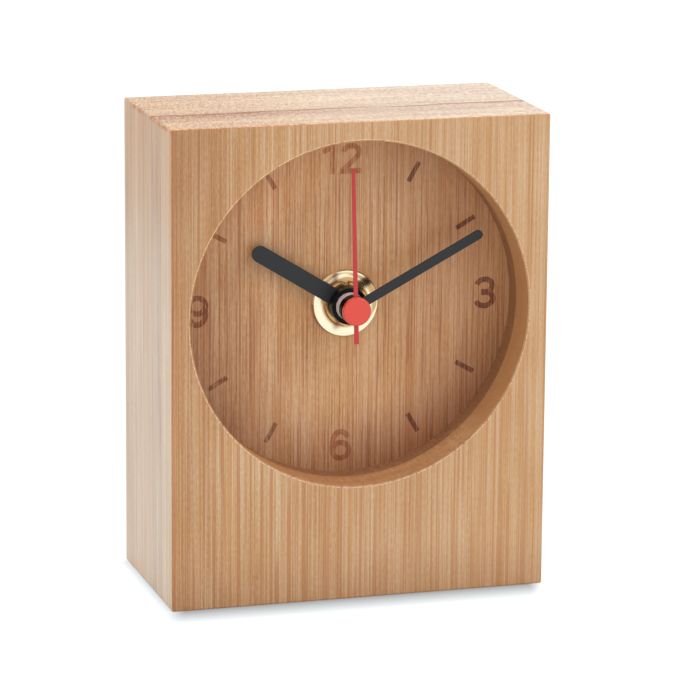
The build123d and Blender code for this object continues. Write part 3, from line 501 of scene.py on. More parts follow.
flat_share = ease(bamboo, calc(bamboo, "ABSOLUTE", side_y), *FACING_RANGE)
out_left = calc(bamboo, "SUBTRACT", calc(bamboo, "MULTIPLY", at_x, -1.0), came["Half"])
out_right = calc(bamboo, "SUBTRACT", at_x, calc(bamboo, "SUBTRACT", came["Half"], RIGHT_LEAD))
# Painted light and shade: the Left, Middle and Right tints of each board change the flat faces from side to
# side.
flat_light_and_shade = mixed(bamboo, ease(bamboo, out_right, 0.0, RIGHT_FADE), came["Middle"], came["Right"])
flat_light_and_shade = mixed(bamboo, ease(bamboo, out_left, 0.0, LEFT_FADE), flat_light_and_shade, came["Left"])
# Painted shade: the flat faces are darker towards the foot, where the block meets the floor.
flat_light_and_shade = mixed(bamboo, ease(bamboo, at_z, FOOT, 0.0), flat_light_and_shade, FOOT_SHADE, "MULTIPLY")
wood = mixed(bamboo, 1.0, wood, mixed(bamboo, flat_share, came["Edge"], flat_light_and_shade), "MULTIPLY")

edge_on = calc(bamboo, "SUBTRACT", 1.0, flat_share)
from_glue = calc(bamboo, "PINGPONG", calc(bamboo, "ADD", at_y, HALF_DEPTH), PLY / 2)
from_dark = calc(bamboo, "ABSOLUTE", calc(bamboo, "SUBTRACT", at_y, DARK_JOINT))
joint_depth = total(bamboo, JOINT_FAINT, product(bamboo, ease(bamboo, from_dark, *JOINT_NEAR), JOINT_GAIN))
glue_share = product(bamboo, ease(bamboo, from_glue, *GLUE_RANGE), joint_depth, edge_on)
wood = mixed(bamboo, glue_share, wood, GLUE_BROWN)
blotches = ease(bamboo, noise(bamboo, shifted, BLOTCH_PATCHES), *BLOTCH_RANGE)
soaked = product(bamboo, ease(bamboo, from_dark, *SOAK_RANGE), blotches)
wood = mixed(bamboo, product(bamboo, soaked, end_share), wood, SOAK_BROWN)
print("tints and glue lines every", PLY, "mm")

# %% Bamboo group, turned recess
DIAL_HEIGHT = 60.0
RECESS_RADIUS = 36.0
RECESS_FLOOR = -7.5
RIM_BEVEL = 0.35
RIM_RADIUS = RECESS_RADIUS + RIM_BEVEL
RIM_DEPTH = RIM_BEVEL / 2 - HALF_DEPTH
BLUR = 0.1
WALL_TAN = colour(185, 134, 91)
RING_START, RING_SHADE = 20.0, (0.66, 0.58, 0.62, 1.0)
RING_LEAST, RING_ACROSS, RING_DOWN = 0.5, (-20.0, 10.0), (2.0, -24.0)
RIM_CREAM, RIM_TAN = colour(250, 216, 174), colour(234, 194, 150)
RIM_TILT, RIM_LIT = 0.4, (-10.0, 34.0)
RAGGED_PATCHES, RAGGED_RANGE = (2.4, 2.4, 2.4), (0.3, 0.6)

up_z = calc(bamboo, "SUBTRACT", at_z, DIAL_HEIGHT)
radius = calc(bamboo, "SQRT", calc(bamboo, "ADD", product(bamboo, at_x, at_x), product(bamboo, up_z, up_z)))
before = ease(bamboo, at_y, RECESS_FLOOR + 2 * BLUR, RECESS_FLOOR + BLUR)
inside = product(bamboo, before, ease(bamboo, radius, RIM_RADIUS + BLUR, RIM_RADIUS))
# Painted shade: the dial is darker towards its rim, most at the lower right.
ring = product(bamboo, ease(bamboo, radius, RING_START, RECESS_RADIUS), inside, flat_share)
to_right = total(bamboo, RING_LEAST, product(bamboo, ease(bamboo, at_x, *RING_ACROSS), 1 - RING_LEAST))
ring = product(bamboo, ring, to_right, ease(bamboo, up_z, *RING_DOWN))
wood = mixed(bamboo, ring, wood, RING_SHADE, "MULTIPLY")
beside = ease(bamboo, radius, RECESS_RADIUS - 2 * BLUR, RECESS_RADIUS - BLUR)
smooth_wall = mixed(bamboo, came["Smooth"], mixed(bamboo, 1.0, wood, came["Wall"], "MULTIPLY"), WALL_TAN)
wood = mixed(bamboo, product(bamboo, inside, beside, edge_on), wood, smooth_wall)
# Pale cut fibres and a painted highlight on the bevel of the rim: cream towards the upper left, tan
# elsewhere.
ragged = ease(bamboo, noise(bamboo, shifted, RAGGED_PATCHES), *RAGGED_RANGE)
on_bevel = ease(bamboo, at_y, RIM_DEPTH, RIM_DEPTH - BLUR)
lit_rim = ease(bamboo, calc(bamboo, "SUBTRACT", product(bamboo, up_z, RIM_TILT), at_x), *RIM_LIT)
rim_fibres_and_highlight = mixed(bamboo, lit_rim, RIM_TAN, RIM_CREAM)
wood = mixed(bamboo, product(bamboo, inside, on_bevel, ragged), wood, rim_fibres_and_highlight)
print("recess", RECESS_RADIUS * 2, "mm across")

# %% Bamboo group, orange edges and amber spots
ARRIS_TINT, ARRIS_SHARE = (0.95, 0.7, 0.46, 1.0), 0.8
EDGE_START, EDGE_END = 0.3, 0.7
BEVEL_FACING, SIDEWAYS_RANGE = (0.99, 0.9), (0.2, 0.5)
SPOT_TINT = (0.88, 0.68, 0.3, 1.0)
SPOT_PATCHES, SPOT_RANGE = (0.3, 0.3, 0.3), (0.44, 0.59)
SPILL_RANGE = (98.7, 99.5)

outside = calc(bamboo, "SUBTRACT", 1.0, inside)
across = calc(bamboo, "MAXIMUM", calc(bamboo, "ABSOLUTE", side_x), calc(bamboo, "ABSOLUTE", side_y))
squarely = calc(bamboo, "MAXIMUM", across, calc(bamboo, "ABSOLUTE", side_z))
sideways = ease(bamboo, calc(bamboo, "ABSOLUTE", side_x), *SIDEWAYS_RANGE)
long_bevel = product(bamboo, ease(bamboo, squarely, *BEVEL_FACING), calc(bamboo, "SUBTRACT", 1.0, sideways))
left_edge = product(bamboo, ease(bamboo, at_x, EDGE_END - HALF_WIDTH, EDGE_START - HALF_WIDTH), flat_share)
arris = product(bamboo, calc(bamboo, "MAXIMUM", long_bevel, left_edge), outside, ARRIS_SHARE)
wood = mixed(bamboo, arris, wood, mixed(bamboo, 1.0, wood, ARRIS_TINT, "MULTIPLY"))
spots = ease(bamboo, noise(bamboo, shifted, SPOT_PATCHES), *SPOT_RANGE)
spots = product(bamboo, spots, ease(bamboo, at_z, *SPILL_RANGE), sideways, outside)
wood = mixed(bamboo, spots, wood, mixed(bamboo, 1.0, wood, SPOT_TINT, "MULTIPLY"))
print("amber spots above", SPILL_RANGE[0], "mm")

# %% Bamboo group, painted light and shade
HIGH_LEFT_SHADE = (0.88, 0.81, 0.74, 1.0)
HIGH_LEFT_ACROSS, HIGH_LEFT_UP = (-16.0, -36.0), (45.0, 95.0)
HIGH_SIDE_SHEEN, HIGH_SIDE_UP = (1.11, 1.0, 0.88, 1.0), (66.0, 96.0)
LIT_DIAL = (1.13, 1.09, 1.06, 1.0)
DIAL_TILT, DIAL_LIT = 1.5, (34.0, 52.0)

# Painted shade: the flat faces are darker towards their upper left.
high_left_shade = product(bamboo, ease(bamboo, at_x, *HIGH_LEFT_ACROSS), ease(bamboo, at_z, *HIGH_LEFT_UP))
wood = mixed(bamboo, product(bamboo, high_left_shade, outside, flat_share), wood, HIGH_LEFT_SHADE, "MULTIPLY")
# Painted sheen fade: the sides are warmer towards the top, where the sheen washes them out less.
high_side_sheen = product(bamboo, ease(bamboo, at_z, *HIGH_SIDE_UP), side_share, outside)
wood = mixed(bamboo, high_side_sheen, wood, HIGH_SIDE_SHEEN, "MULTIPLY")
# Painted light: the dial is lighter towards its upper left.
towards_light = calc(bamboo, "SUBTRACT", product(bamboo, up_z, DIAL_TILT), at_x)
lit_dial = product(bamboo, ease(bamboo, towards_light, *DIAL_LIT), inside, flat_share)
wood = mixed(bamboo, lit_dial, wood, LIT_DIAL, "MULTIPLY")
bamboo.links.new(wood, goes["Colour"])
bamboo.links.new(grain, goes["Grain"])
print("tones on the front, the side and the dial")

# %% Bamboo group, gloss and relief
DULLNESS, GRAIN_GLOSS = 0.5, 0.12
COAT, COAT_INSIDE = 0.75, 0.2
LEFT_WEAR, BAND_WEAR = 0.35, 0.5
PORE_DEPTH = 0.6

worn = total(bamboo, product(bamboo, rough_left, LEFT_WEAR), product(bamboo, band_share, BAND_WEAR), soaked)
dry = product(bamboo, end_share, calc(bamboo, "MINIMUM", worn, 1.0))
dry = calc(bamboo, "MAXIMUM", dry, spots)
coat = total(bamboo, COAT, product(bamboo, inside, COAT_INSIDE - COAT), product(bamboo, dry, -COAT))
bamboo.links.new(total(bamboo, DULLNESS, product(bamboo, grain, -GRAIN_GLOSS)), goes["Roughness"])
bamboo.links.new(coat, goes["Coat"])
bamboo.links.new(total(bamboo, grain, product(bamboo, pore_share, -PORE_DEPTH)), goes["Height"])
print("bamboo group:", len(bamboo.nodes), "nodes")

# %% Boards
PLAIN = (1.0, 1.0, 1.0, 1.0)
COMMON_BOARD = {
    "Strips": 0.45, "Lines": 1.0, "Veins": 0.4, "Wall": (0.95, 0.82, 0.66, 1.0),
    "Left": PLAIN, "Middle": PLAIN, "Right": PLAIN, "Half": 26.0, "Edge": PLAIN,
}
BOARD_BUMP = 0.04
COAT_ROUGHNESS = 0.25
# Edge tints the sides and the top: partly each board's own tone, partly painted sheen that makes the front
# and rear boards paler and bluer there.
BOARDS = {
    # Painted light and shade: the front is darker at its left and lighter at its right.
    "front_ply": {
        "Veins": 0.7, "Pores": 0.05, "Smooth": 0.6, "Edge": (1.0, 1.08, 1.1, 1.0),
        "Left": (0.91, 0.84, 0.74, 1.0), "Right": (1.03, 1.03, 1.02, 1.0),
    },
    # Painted shade: the dial is lighter in its middle and darker towards the walls of the recess; its Wall
    # tint darkens the dial board's part of the wall, partly for its end grain and partly as painted shade.
    "dial_ply": {
        "Shift": (61.0, 13.0, 210.0), "Strips": 0.4, "Lines": 0.6, "Veins": 0.5, "Pores": 0.55,
        "Band": 1.0, "Smooth": 0.2, "Wall": (0.5, 0.37, 0.33, 1.0), "Edge": (0.9, 0.94, 0.93, 1.0),
        "Left": (0.89, 0.78, 0.69, 1.0), "Middle": (1.09, 1.04, 1.0, 1.0), "Right": (0.95, 0.83, 0.75, 1.0),
        "Half": 14.0,
    },
    "middle_ply": {"Shift": (127.0, 29.0, 95.0), "Pores": 0.1, "Edge": (0.95, 1.0, 1.0, 1.0)},
    "rear_ply": {"Shift": (183.0, 41.0, 320.0), "Pores": 0.1, "Edge": (0.99, 1.04, 1.1, 1.0)},
    "back_ply": {"Shift": (239.0, 57.0, 450.0), "Pores": 0.1, "Edge": (0.95, 1.0, 1.0, 1.0)},
}


def bamboo_material(name, look):
    """Satin bamboo with its own stretch of the grain: material, tree, shader and what the group gives."""
    made, tree, shader, place, facing = new_material(name + "_bamboo")
    values = {**COMMON_BOARD, **look, "Place": place, "Facing": facing}
    shader.inputs["Coat Roughness"].default_value = COAT_ROUGHNESS
    looks = put(tree, "Group", values, node_tree=bamboo).outputs
    tree.links.new(looks["Coat"], shader.inputs["Coat Weight"])
    return made, tree, shader, looks


for name, look in BOARDS.items():
    made, tree, shader, looks = bamboo_material(name, look)
    connect(tree, shader, looks["Colour"], looks["Roughness"], looks["Height"], BOARD_BUMP)
    dress([name], made)
print("dressed", ", ".join(BOARDS))

# %% [markdown]
# ## Burnt marks on the dial
# The numbers and strokes are scorched into the floor of the recess, so the grain still shows in them.
# Text objects would bring a font along; here every mark is a flat bar carried along a line made of arcs
# and straight runs, a fiftieth of a millimetre proud of the wood. The bars use the bamboo group with the
# dial board's own shift, so the fibres run on through them, and a second group scorches its colour.

# %% Bars along a line
def arc(centre, radii, start, end, count=30):
    """Points on an ellipse between two angles: the centre plus each radius times cosine and sine."""
    turn = np.radians(np.linspace(start, end, count))
    return np.column_stack((centre[0] + radii[0] * np.cos(turn), centre[1] + radii[1] * np.sin(turn)))


def bend(start, pull, end, count=12):
    """Points from start to end, drawn towards a third point: with t from 0 to 1, the square of 1 - t times
    the start, twice t times 1 - t times the pull, and the square of t times the end, added together.
    """
    t = np.linspace(0, 1, count)[:, None]
    return (1 - t) ** 2 * np.array(start) + 2 * t * (1 - t) * np.array(pull) + t**2 * np.array(end)


def bar_along(line, width, base, top):
    """Flat bar carried along a line in the plane of the dial; a line that ends at its start makes a ring.
    Each point goes half a width to both sides along the line's normal, at the depth of the top and of the
    base, which gives four corners a point; neighbouring corners of neighbouring points make the faces.
    """
    line = np.asarray(line, float)
    closed = np.allclose(line[0], line[-1])
    line = line[:-1] if closed else line
    ahead = np.roll(line, -1, axis=0) - np.roll(line, 1, axis=0)
    if not closed:
        ahead[[0, -1]] = line[[1, -1]] - line[[0, -2]]
    ahead /= np.linalg.norm(ahead, axis=1, keepdims=True)
    across = np.column_stack((-ahead[:, 1], ahead[:, 0])) * np.reshape(width, (-1, 1)) / 2
    edges = np.stack((line + across, line - across, line - across, line + across), axis=1)
    depth = np.broadcast_to((top, top, base, base), edges.shape[:2])
    points = np.stack((edges[..., 0], depth, edges[..., 1]), axis=-1).reshape(-1, 3)
    here = np.arange(len(line) - (not closed))[:, None] * 4
    after = (here + 4) % len(points)
    corner = np.arange(4)
    turned = (corner + 1) % 4
    faces = np.stack((here + corner, here + turned, after + turned, after + corner), axis=-1).reshape(-1, 4)
    if not closed:
        caps = np.stack((corner[::-1], corner + len(points) - 4))
        faces = np.concatenate((faces, caps))
    return points, faces if top < base else faces[:, ::-1]


def piece_of(name, bars, material, body):
    """One object made of several bars, in place, riding on a body."""
    starts = np.cumsum([0] + [len(points) for points, _ in bars[:-1]])
    points = np.concatenate([points for points, _ in bars]) * MM
    faces = np.concatenate([faces + start for start, (_, faces) in zip(starts, bars)])
    mesh = bpy.data.meshes.new(name)
    mesh.from_pydata(points.tolist(), [], faces.tolist())
    mesh.materials.append(material)
    made = bpy.data.objects.new(name, mesh)
    scene.collection.objects.link(made)
    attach(made, body)
    return made


print("a straight bar has", len(bar_along(((0, 0), (1, 0)), 1, 0, -1)[1]), "faces")

# %% Shapes of the numbers
NUMBER_HEIGHT = 6.8
STROKE = 1.15
REACH = (NUMBER_HEIGHT - STROKE) / 2
TIP_SHARE = 1 + STROKE / 2 / REACH
RING_POINTS = 49

# Each number is drawn on a field that runs from -1 to 1 in height, and is made larger where it is placed
six_ring = arc((0, -0.41), (0.62, 0.59), 0, 360, RING_POINTS)
six_stem = np.concatenate((((-0.62, -0.41), (-0.62, 0.0)), arc((0, 0.25), (0.62, 0.75), 180, 24)))
two_top = arc((0, 0.48), (0.64, 0.52), 172, -35)
two_neck = bend(two_top[-1], (0.2, -0.16), (-0.58, -0.86))
NUMBERS = {
    "1": (((0.3, -TIP_SHARE), (0.3, TIP_SHARE)), ((0.28, 0.94), (-0.5, 0.58))),
    "2": (np.concatenate((two_top, two_neck[1:])), ((-0.86, -1.0), (0.86, -1.0))),
    "3": (
        np.concatenate((arc((0, 0.5), (0.6, 0.5), 165, -90), ((-0.25, 0.0),))),
        np.concatenate((((-0.25, 0.06),), arc((0, -0.47), (0.66, 0.53), 90, -165))),
    ),
    "6": (six_ring, six_stem),
    "9": (-six_ring, -six_stem),
}
print("numbers", ", ".join(NUMBERS), "are", NUMBER_HEIGHT, "mm high")

# %% Scorched wood
SPARED_RANGE = (0.46, 0.6)

scorch, came, goes = new_group(
    "scorch",
    {"Wood": "Color", "Grain": "Float", "Tint": "Color", "Spared": "Float"},
    {"Colour": "Color"},
)
burnt = mixed(scorch, 1.0, came["Wood"], came["Tint"], "MULTIPLY")
spared = product(scorch, ease(scorch, came["Grain"], *SPARED_RANGE), came["Spared"])
scorch.links.new(mixed(scorch, spared, burnt, came["Wood"]), goes["Colour"])

SCORCH_GLOSS = 0.2
SCORCHES = {
    "deep_scorch": {"Tint": (0.37, 0.24, 0.26, 1.0), "Spared": 0.4},
    "brown_scorch": {"Tint": (0.55, 0.38, 0.34, 1.0), "Spared": 0.15},
    "soft_scorch": {"Tint": (0.48, 0.31, 0.27, 1.0), "Spared": 0.7},
    "faint_scorch": {"Tint": (0.7, 0.5, 0.45, 1.0), "Spared": 0.4},
}


def scorched(name, look):
    """Bamboo of the dial board, darkened by a tint where the iron touched it."""
    made, tree, shader, looks = bamboo_material(name, BOARDS["dial_ply"])
    values = {**look, "Wood": looks["Colour"], "Grain": looks["Grain"]}
    shader.inputs["Specular IOR Level"].default_value = SCORCH_GLOSS
    burn = put(tree, "Group", values, node_tree=scorch).outputs
    connect(tree, shader, burn["Colour"], looks["Roughness"], looks["Height"], BOARD_BUMP)
    return made


scorches = {name: scorched(name, look) for name, look in SCORCHES.items()}
print("scorches:", ", ".join(scorches))

# %% Numbers on the dial
MARK_SINK = 0.05
MARK_RISE = 0.02
STROKE_STEP = 0.004
MARK_SHIFT = -0.5
NUMBERS_AT = {
    "numeral_12": ((("1", -2.7), ("2", 2.1)), (-0.9, 30.2), 0.93, "faint_scorch"),
    "numeral_3": ((("3", 0.0),), (30.5, 0.4), 1.0, "deep_scorch"),
    "numeral_6": ((("6", 0.0),), (-0.6, -30.4), 1.0, "faint_scorch"),
    "numeral_9": ((("9", 0.0),), (-31.4, -0.2), 1.0, "soft_scorch"),
}


def dial_bar(line, width, order):
    """Bar on the floor of the recess; later bars of a mark rise a hair further, so no faces coincide."""
    rise = RECESS_FLOOR - MARK_RISE - order * STROKE_STEP
    return bar_along(np.asarray(line) + (0.0, DIAL_HEIGHT), width, RECESS_FLOOR + MARK_SINK, rise)


for name, (digits, centre, size_share, finish) in NUMBERS_AT.items():
    lines_of = [
        np.asarray(line) * REACH * size_share + (offset + centre[0], centre[1])
        for digit, offset in digits
        for line in NUMBERS[digit]
    ]
    bars = [dial_bar(line, STROKE * size_share, order) for order, line in enumerate(lines_of)]
    piece_of(name, bars, scorches[finish], "case")
    print(name, "of", len(bars), "bars")

# %% Strokes of the other hours
STROKE_INNER, STROKE_OUTER = 28.5, 33.1
STROKE_WIDTH = 1.0
STROKE_TURN = 0.4
TWELVE_DEGREES, HOUR_DEGREES = 90, 30
STROKES = {
    1: "deep_scorch", 2: "deep_scorch", 4: "deep_scorch", 5: "deep_scorch", 7: "deep_scorch",
    8: "soft_scorch", 10: "brown_scorch", 11: "brown_scorch",
}


def hour_line(hour):
    """Straight line along an hour's radius: its ends are the inner and outer radius at that angle."""
    angle = np.radians(TWELVE_DEGREES - HOUR_DEGREES * hour + STROKE_TURN)
    ends = np.outer((STROKE_INNER, STROKE_OUTER), (np.cos(angle), np.sin(angle)))
    return ends + (MARK_SHIFT, 0.0)


for hour, finish in STROKES.items():
    bars = [dial_bar(hour_line(hour), STROKE_WIDTH, 0)]
    piece_of(f"stroke_{hour}", bars, scorches[finish], "case")
print(len(STROKES), "strokes from", STROKE_INNER, "to", STROKE_OUTER, "mm")

# %% [markdown]
# ## Paint, plastic and rubber
# The hands are painted sheet, the movement is moulded plastic and its washer is rubber. They look plain
# from far away, but each has a fine grit and a slow change of tone. Every finish could have a tree of its
# own; one group with named inputs is enough, because only the shade, the grit and the gloss differ. The
# record says which solid has which finish, so a loop can dress them all.

# %% Skin group
CLOUD_PATCHES, CLOUD_WEIGHT = (0.12, 0.12, 0.12), 1.5
GRIT_DULL = 0.25
GRIT_BUMP = 0.006

skin, came, goes = new_group(
    "skin",
    {"Place": "Vector", "Shade": "Color", "Grit": "Vector", "Mottle": "Float", "Dull": "Float"},
    {"Colour": "Color", "Roughness": "Float", "Height": "Float"},
)
grit = noise(skin, came["Place"], came["Grit"], LAYERED, CRISP)
clouds = noise(skin, came["Place"], CLOUD_PATCHES, LAYERED)
uneven = total(skin, centred(skin, grit, 1.0), centred(skin, clouds, CLOUD_WEIGHT))
level = total(skin, 1.0, product(skin, uneven, came["Mottle"]))
skin.links.new(tinted(skin, came["Shade"], level), goes["Colour"])
skin.links.new(total(skin, came["Dull"], centred(skin, grit, GRIT_DULL)), goes["Roughness"])
skin.links.new(grit, goes["Height"])
print("skin group:", len(skin.nodes), "nodes")

# %% Paints, plastics and rubber
BUSH_GLOSS = 0.15
FINE, MEDIUM, COARSE = (9.0, 9.0, 9.0), (6.0, 6.0, 6.0), (3.0, 3.0, 3.0)
SKINS = {
    "charcoal_paint": {"Shade": colour(15, 17, 20), "Grit": FINE, "Mottle": 0.3, "Dull": 0.42},
    "red_paint": {"Shade": colour(194, 48, 50), "Grit": FINE, "Mottle": 0.12, "Dull": 0.4},
    "red_cap": {"Shade": colour(226, 72, 58), "Grit": COARSE, "Mottle": 0.06, "Dull": 0.24},
    "bush_black": {"Shade": colour(14, 14, 18), "Grit": MEDIUM, "Mottle": 0.3, "Dull": 0.35},
    "pipe_plastic": {"Shade": colour(240, 226, 228), "Grit": MEDIUM, "Mottle": 0.1, "Dull": 0.35},
    "gasket_rubber": {"Shade": colour(30, 30, 31), "Grit": MEDIUM, "Mottle": 0.5, "Dull": 0.8},
    "shell_plastic": {"Shade": colour(27, 27, 29), "Grit": MEDIUM, "Mottle": 0.4, "Dull": 0.5},
    "knob_plastic": {"Shade": colour(35, 35, 37), "Grit": FINE, "Mottle": 0.4, "Dull": 0.4},
    "gear_plastic": {"Shade": colour(226, 222, 208), "Grit": COARSE, "Mottle": 0.08, "Dull": 0.35},
    "chip_resin": {"Shade": colour(19, 19, 20), "Grit": FINE, "Mottle": 0.5, "Dull": 0.55},
}


def solids_of(slot):
    """Names of the solids that the record gives a finish."""
    return [piece["node"] for piece in frame["record"]["subparts"] if piece["material_slot"] == slot]


def group_finish(name, group, look, bump_mm):
    """Material whose colour, roughness and height come from a group with its own values."""
    made, tree, shader, place, _ = new_material(name)
    looks = put(tree, "Group", {"Place": place, **look}, node_tree=group).outputs
    connect(tree, shader, looks["Colour"], looks["Roughness"], looks["Height"], bump_mm)
    return made


skins = {slot: group_finish(slot, skin, look, GRIT_BUMP) for slot, look in SKINS.items()}
bush_shader = skins["bush_black"].node_tree.nodes["Principled BSDF"]
bush_shader.inputs["Specular IOR Level"].default_value = BUSH_GLOSS
for slot, material in skins.items():
    dress(solids_of(slot), material)
    print(slot, "on", ", ".join(solids_of(slot)))

# %% [markdown]
# ## Metals
# The nut, the bush and the minute pipe are turned from brass, the contacts are plated strip and the motor
# is stamped sheet. They share one group of fine scratches, drawn out one way by counts along x, y and z.
# Turned metal is scratched in rings, so the brass gives the group the distance from the dial's axis, the
# depth and the angle in place of x, y and z.

# %% Metal group
STAIN_PATCHES = (0.25, 0.25, 0.25)
SCRATCH_BUMP = 0.002
SCRATCH_TONE, STAIN_TONE = 0.14, 0.16
SCRATCH_DULL, STAIN_DULL = 0.1, 0.08

metal, came, goes = new_group(
    "metal",
    {"Place": "Vector", "Shade": "Color", "Scratches": "Vector", "Dull": "Float"},
    {"Colour": "Color", "Roughness": "Float", "Height": "Float"},
)
scratches = noise(metal, came["Place"], came["Scratches"], LAYERED, CRISP)
stains = noise(metal, came["Place"], STAIN_PATCHES, LAYERED)
level = total(metal, 1.0, centred(metal, scratches, SCRATCH_TONE), centred(metal, stains, STAIN_TONE))
uneven = total(metal, centred(metal, scratches, SCRATCH_DULL), centred(metal, stains, STAIN_DULL))
metal.links.new(tinted(metal, came["Shade"], level), goes["Colour"])
metal.links.new(total(metal, came["Dull"], uneven), goes["Roughness"])
metal.links.new(scratches, goes["Height"])
print("metal group:", len(metal.nodes), "nodes")

# %% Sheet metal and cans
METALS = {
    "contact_steel": {"Shade": colour(222, 221, 215), "Scratches": (1.0, 8.0, 0.4), "Dull": 0.3},
    "crystal_can": {"Shade": colour(220, 220, 220), "Scratches": (0.4, 5.0, 5.0), "Dull": 0.26},
    "motor_steel": {"Shade": colour(186, 186, 189), "Scratches": (0.4, 4.0, 6.0), "Dull": 0.4},
    "magnet": {"Shade": colour(104, 104, 108), "Scratches": (3.0, 3.0, 3.0), "Dull": 0.45},
    "cell_can": {"Shade": colour(217, 217, 215), "Scratches": (0.3, 4.0, 4.0), "Dull": 0.28},
}

for slot, look in METALS.items():
    material = group_finish(slot, metal, look, SCRATCH_BUMP)
    material.node_tree.nodes["Principled BSDF"].inputs["Metallic"].default_value = 1.0
    dress(solids_of(slot), material)
    print(slot, "on", ", ".join(solids_of(slot)))

# %% Turned brass
BRASS = {"Shade": colour(248, 236, 202), "Scratches": (7.0, 3.0, 0.4), "Dull": 0.18}
REFLECTION_AND_SHADE_GOLD = colour(188, 132, 62)
SWEEP_PATCHES, SWEEP_RANGE = (0.9, 0.5, 0.7), (0.48, 0.62)
SWEEP_SHARE = 0.8
BOSS_RANGE = (5.4, 4.8)


def turned_place(tree, place):
    """Distance from the dial's axis, depth, and angle about the axis, in place of x, y and z."""
    x, y, z = split(tree, place)
    rise = calc(tree, "SUBTRACT", z, DIAL_HEIGHT)
    reach = calc(tree, "SQRT", total(tree, product(tree, x, x), product(tree, rise, rise)))
    return put(tree, "CombineXYZ", {0: reach, 1: y, 2: calc(tree, "ARCTAN2", rise, x)}).outputs[0]


brass, tree, shader, place, _ = new_material("polished_brass")
shader.inputs["Metallic"].default_value = 1.0
turned = turned_place(tree, place)
looks = put(tree, "Group", {"Place": turned, **BRASS}, node_tree=metal).outputs
# Painted reflections and shade: brown-gold arcs that stand for reflections across the brass, and brown gold
# near the axis where the boss meets the bush, a painted shade.
reflected_sweeps = ease(tree, noise(tree, turned, SWEEP_PATCHES), *SWEEP_RANGE)
boss_shade = ease(tree, split(tree, turned)[0], *BOSS_RANGE)
reflection_and_shade = product(tree, calc(tree, "MAXIMUM", reflected_sweeps, boss_shade), SWEEP_SHARE)
brass_with_painted_light = mixed(tree, reflection_and_shade, looks["Colour"], REFLECTION_AND_SHADE_GOLD)
connect(tree, shader, brass_with_painted_light, looks["Roughness"], looks["Height"], SCRATCH_BUMP)
dress(solids_of("polished_brass"), brass)
print("turned brass on", ", ".join(solids_of("polished_brass")))

# %% [markdown]
# ## Inside the movement
# The coil is wound with hair-thin copper wire, the circuit board is brown laminate with copper tracks and
# the battery has a printed sleeve. These three have a drawn pattern on top of their finish. Every turn of
# wire could be modelled, but at a sixth of a millimetre it is finer than the render shows, so a sine along
# the coil's axis stands for the turns.

# %% Copper winding
WIRE_PITCH = 0.16
GROOVE_SHADE, GROOVE_RANGE = colour(110, 52, 30), (0.2, -1.0)
COPPER = {"Shade": colour(212, 132, 92), "Scratches": (9.0, 0.4, 0.4), "Dull": 0.3}

winding, tree, shader, place, _ = new_material("copper_wire")
shader.inputs["Metallic"].default_value = 1.0
looks = put(tree, "Group", {"Place": place, **COPPER}, node_tree=metal).outputs
turns = calc(tree, "SINE", product(tree, split(tree, place)[0], 2 * np.pi / WIRE_PITCH))
# Painted shade: the grooves between the turns are dark brown.
wound = mixed(tree, ease(tree, turns, *GROOVE_RANGE), looks["Colour"], GROOVE_SHADE)
connect(tree, shader, wound, looks["Roughness"], turns, WIRE_PITCH / 4)
dress(solids_of("copper_wire"), winding)

# %% Circuit board
TRACK_SQUARES = (0.22, 0.22, 0.22)
TRACK_STEP, TRACK_RANGE = 0.12, (0.06, 0.07)
TRACK_COPPER = colour(196, 126, 74)
LAMINATE = {"Shade": colour(150, 112, 66), "Grit": MEDIUM, "Mottle": 0.25, "Dull": 0.45}

board, tree, shader, place, _ = new_material("board_laminate")
pattern = {"Vector": spread(tree, place, TRACK_SQUARES), "Scale": 1.0}
squares = put(tree, "TexVoronoi", pattern, distance="CHEBYCHEV").outputs["Distance"]
track = ease(tree, calc(tree, "PINGPONG", squares, TRACK_STEP), *TRACK_RANGE)
shade = mixed(tree, track, LAMINATE["Shade"], TRACK_COPPER)
looks = put(tree, "Group", {**LAMINATE, "Place": place, "Shade": shade}, node_tree=skin).outputs
connect(tree, shader, looks["Colour"], looks["Roughness"], total(tree, looks["Height"], track), GRIT_BUMP)
dress(solids_of("board_laminate"), board)
print("tracks on", ", ".join(solids_of("board_laminate")))

# %% Battery sleeve
PALE_START = 13.0
LINE_START, LINE_END = 11.0, 11.9
PRINT_EDGE = 0.1
SLEEVE_BLUE, SLEEVE_SILVER = colour(52, 72, 98), colour(206, 210, 212)
SLEEVE_COAT = 0.5
SLEEVE = {"Grit": FINE, "Mottle": 0.08, "Dull": 0.28}

sleeve, tree, shader, place, _ = new_material("cell_jacket")
shader.inputs["Coat Weight"].default_value = SLEEVE_COAT
along = split(tree, place)[0]
pale = ease(tree, along, PALE_START, PALE_START + PRINT_EDGE)
line_starts = ease(tree, along, LINE_START, LINE_START + PRINT_EDGE)
line_ends = ease(tree, along, LINE_END, LINE_END - PRINT_EDGE)
printed = calc(tree, "MAXIMUM", pale, product(tree, line_starts, line_ends))
shade = mixed(tree, printed, SLEEVE_BLUE, SLEEVE_SILVER)
looks = put(tree, "Group", {**SLEEVE, "Place": place, "Shade": shade}, node_tree=skin).outputs
connect(tree, shader, looks["Colour"], looks["Roughness"], looks["Height"], GRIT_BUMP)
dress(solids_of("cell_jacket"), sleeve)
print("sleeve with a pale band from", PALE_START, "mm towards the terminal")

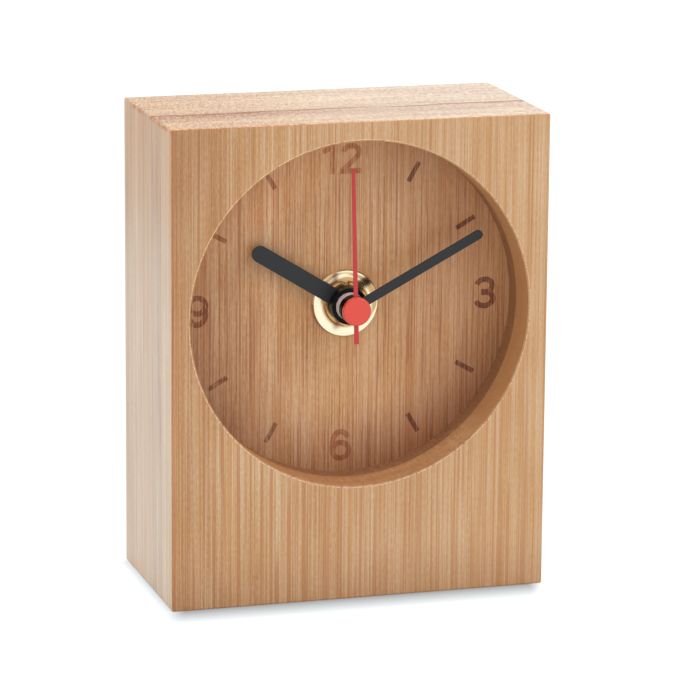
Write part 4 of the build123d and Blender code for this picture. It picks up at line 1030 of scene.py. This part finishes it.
# %% [markdown]
# ## Signs on the back of the movement
# Such movements have raised signs in the moulding: plus and minus above the battery and a curved arrow
# round the knob that sets the hands. They are bars along a line again, this time facing backwards, and the
# arrow's head is the same bar with a width that tapers to a point.

# %% Plus, minus and arrow
SHELL_BACK = 12.5
SIGN_SINK, SIGN_RISE, SIGN_STEP = 0.1, 0.25, 0.02
SIGN_ARM, SIGN_WIDTH = 1.6, 0.7
SIGN_OUT, SIGN_HEIGHT = 20.0, 52.0
KNOB_HEIGHT = 75.36
ARROW_RADIUS = 10.2
ARROW_START, ARROW_NECK, ARROW_TIP = 150.0, 42.0, 24.0
ARROW_WIDTH, HEAD_WIDTH, TIP_WIDTH = 0.7, 2.2, 0.12
HEAD_POINTS = 8


def sign_bar(line, width, order=0):
    """Bar on the back of the shell; the second bar of a sign rises a hair further than the first."""
    return bar_along(line, width, SHELL_BACK - SIGN_SINK, SHELL_BACK + SIGN_RISE + order * SIGN_STEP)


level_bar = np.array(((-SIGN_ARM, 0.0), (SIGN_ARM, 0.0)))
upright_bar = level_bar[:, ::-1]
plus_at = (SIGN_OUT, SIGN_HEIGHT)
minus_at = (-SIGN_OUT, SIGN_HEIGHT)
shaft = arc((0.0, KNOB_HEIGHT), (ARROW_RADIUS, ARROW_RADIUS), ARROW_START, ARROW_NECK)
head = arc((0.0, KNOB_HEIGHT), (ARROW_RADIUS, ARROW_RADIUS), ARROW_NECK, ARROW_TIP, HEAD_POINTS)
taper = np.linspace(HEAD_WIDTH, TIP_WIDTH, HEAD_POINTS)
widths = np.concatenate((np.full(len(shaft), ARROW_WIDTH), taper))
signs = {
    "plus_sign": [
        sign_bar(level_bar + plus_at, SIGN_WIDTH),
        sign_bar(upright_bar + plus_at, SIGN_WIDTH, 1),
    ],
    "minus_sign": [sign_bar(level_bar + minus_at, SIGN_WIDTH)],
    "setting_arrow": [sign_bar(np.concatenate((shaft, head)), widths)],
}
for name, bars in signs.items():
    piece_of(name, bars, skins["shell_plastic"], "case")
print("signs:", ", ".join(signs))
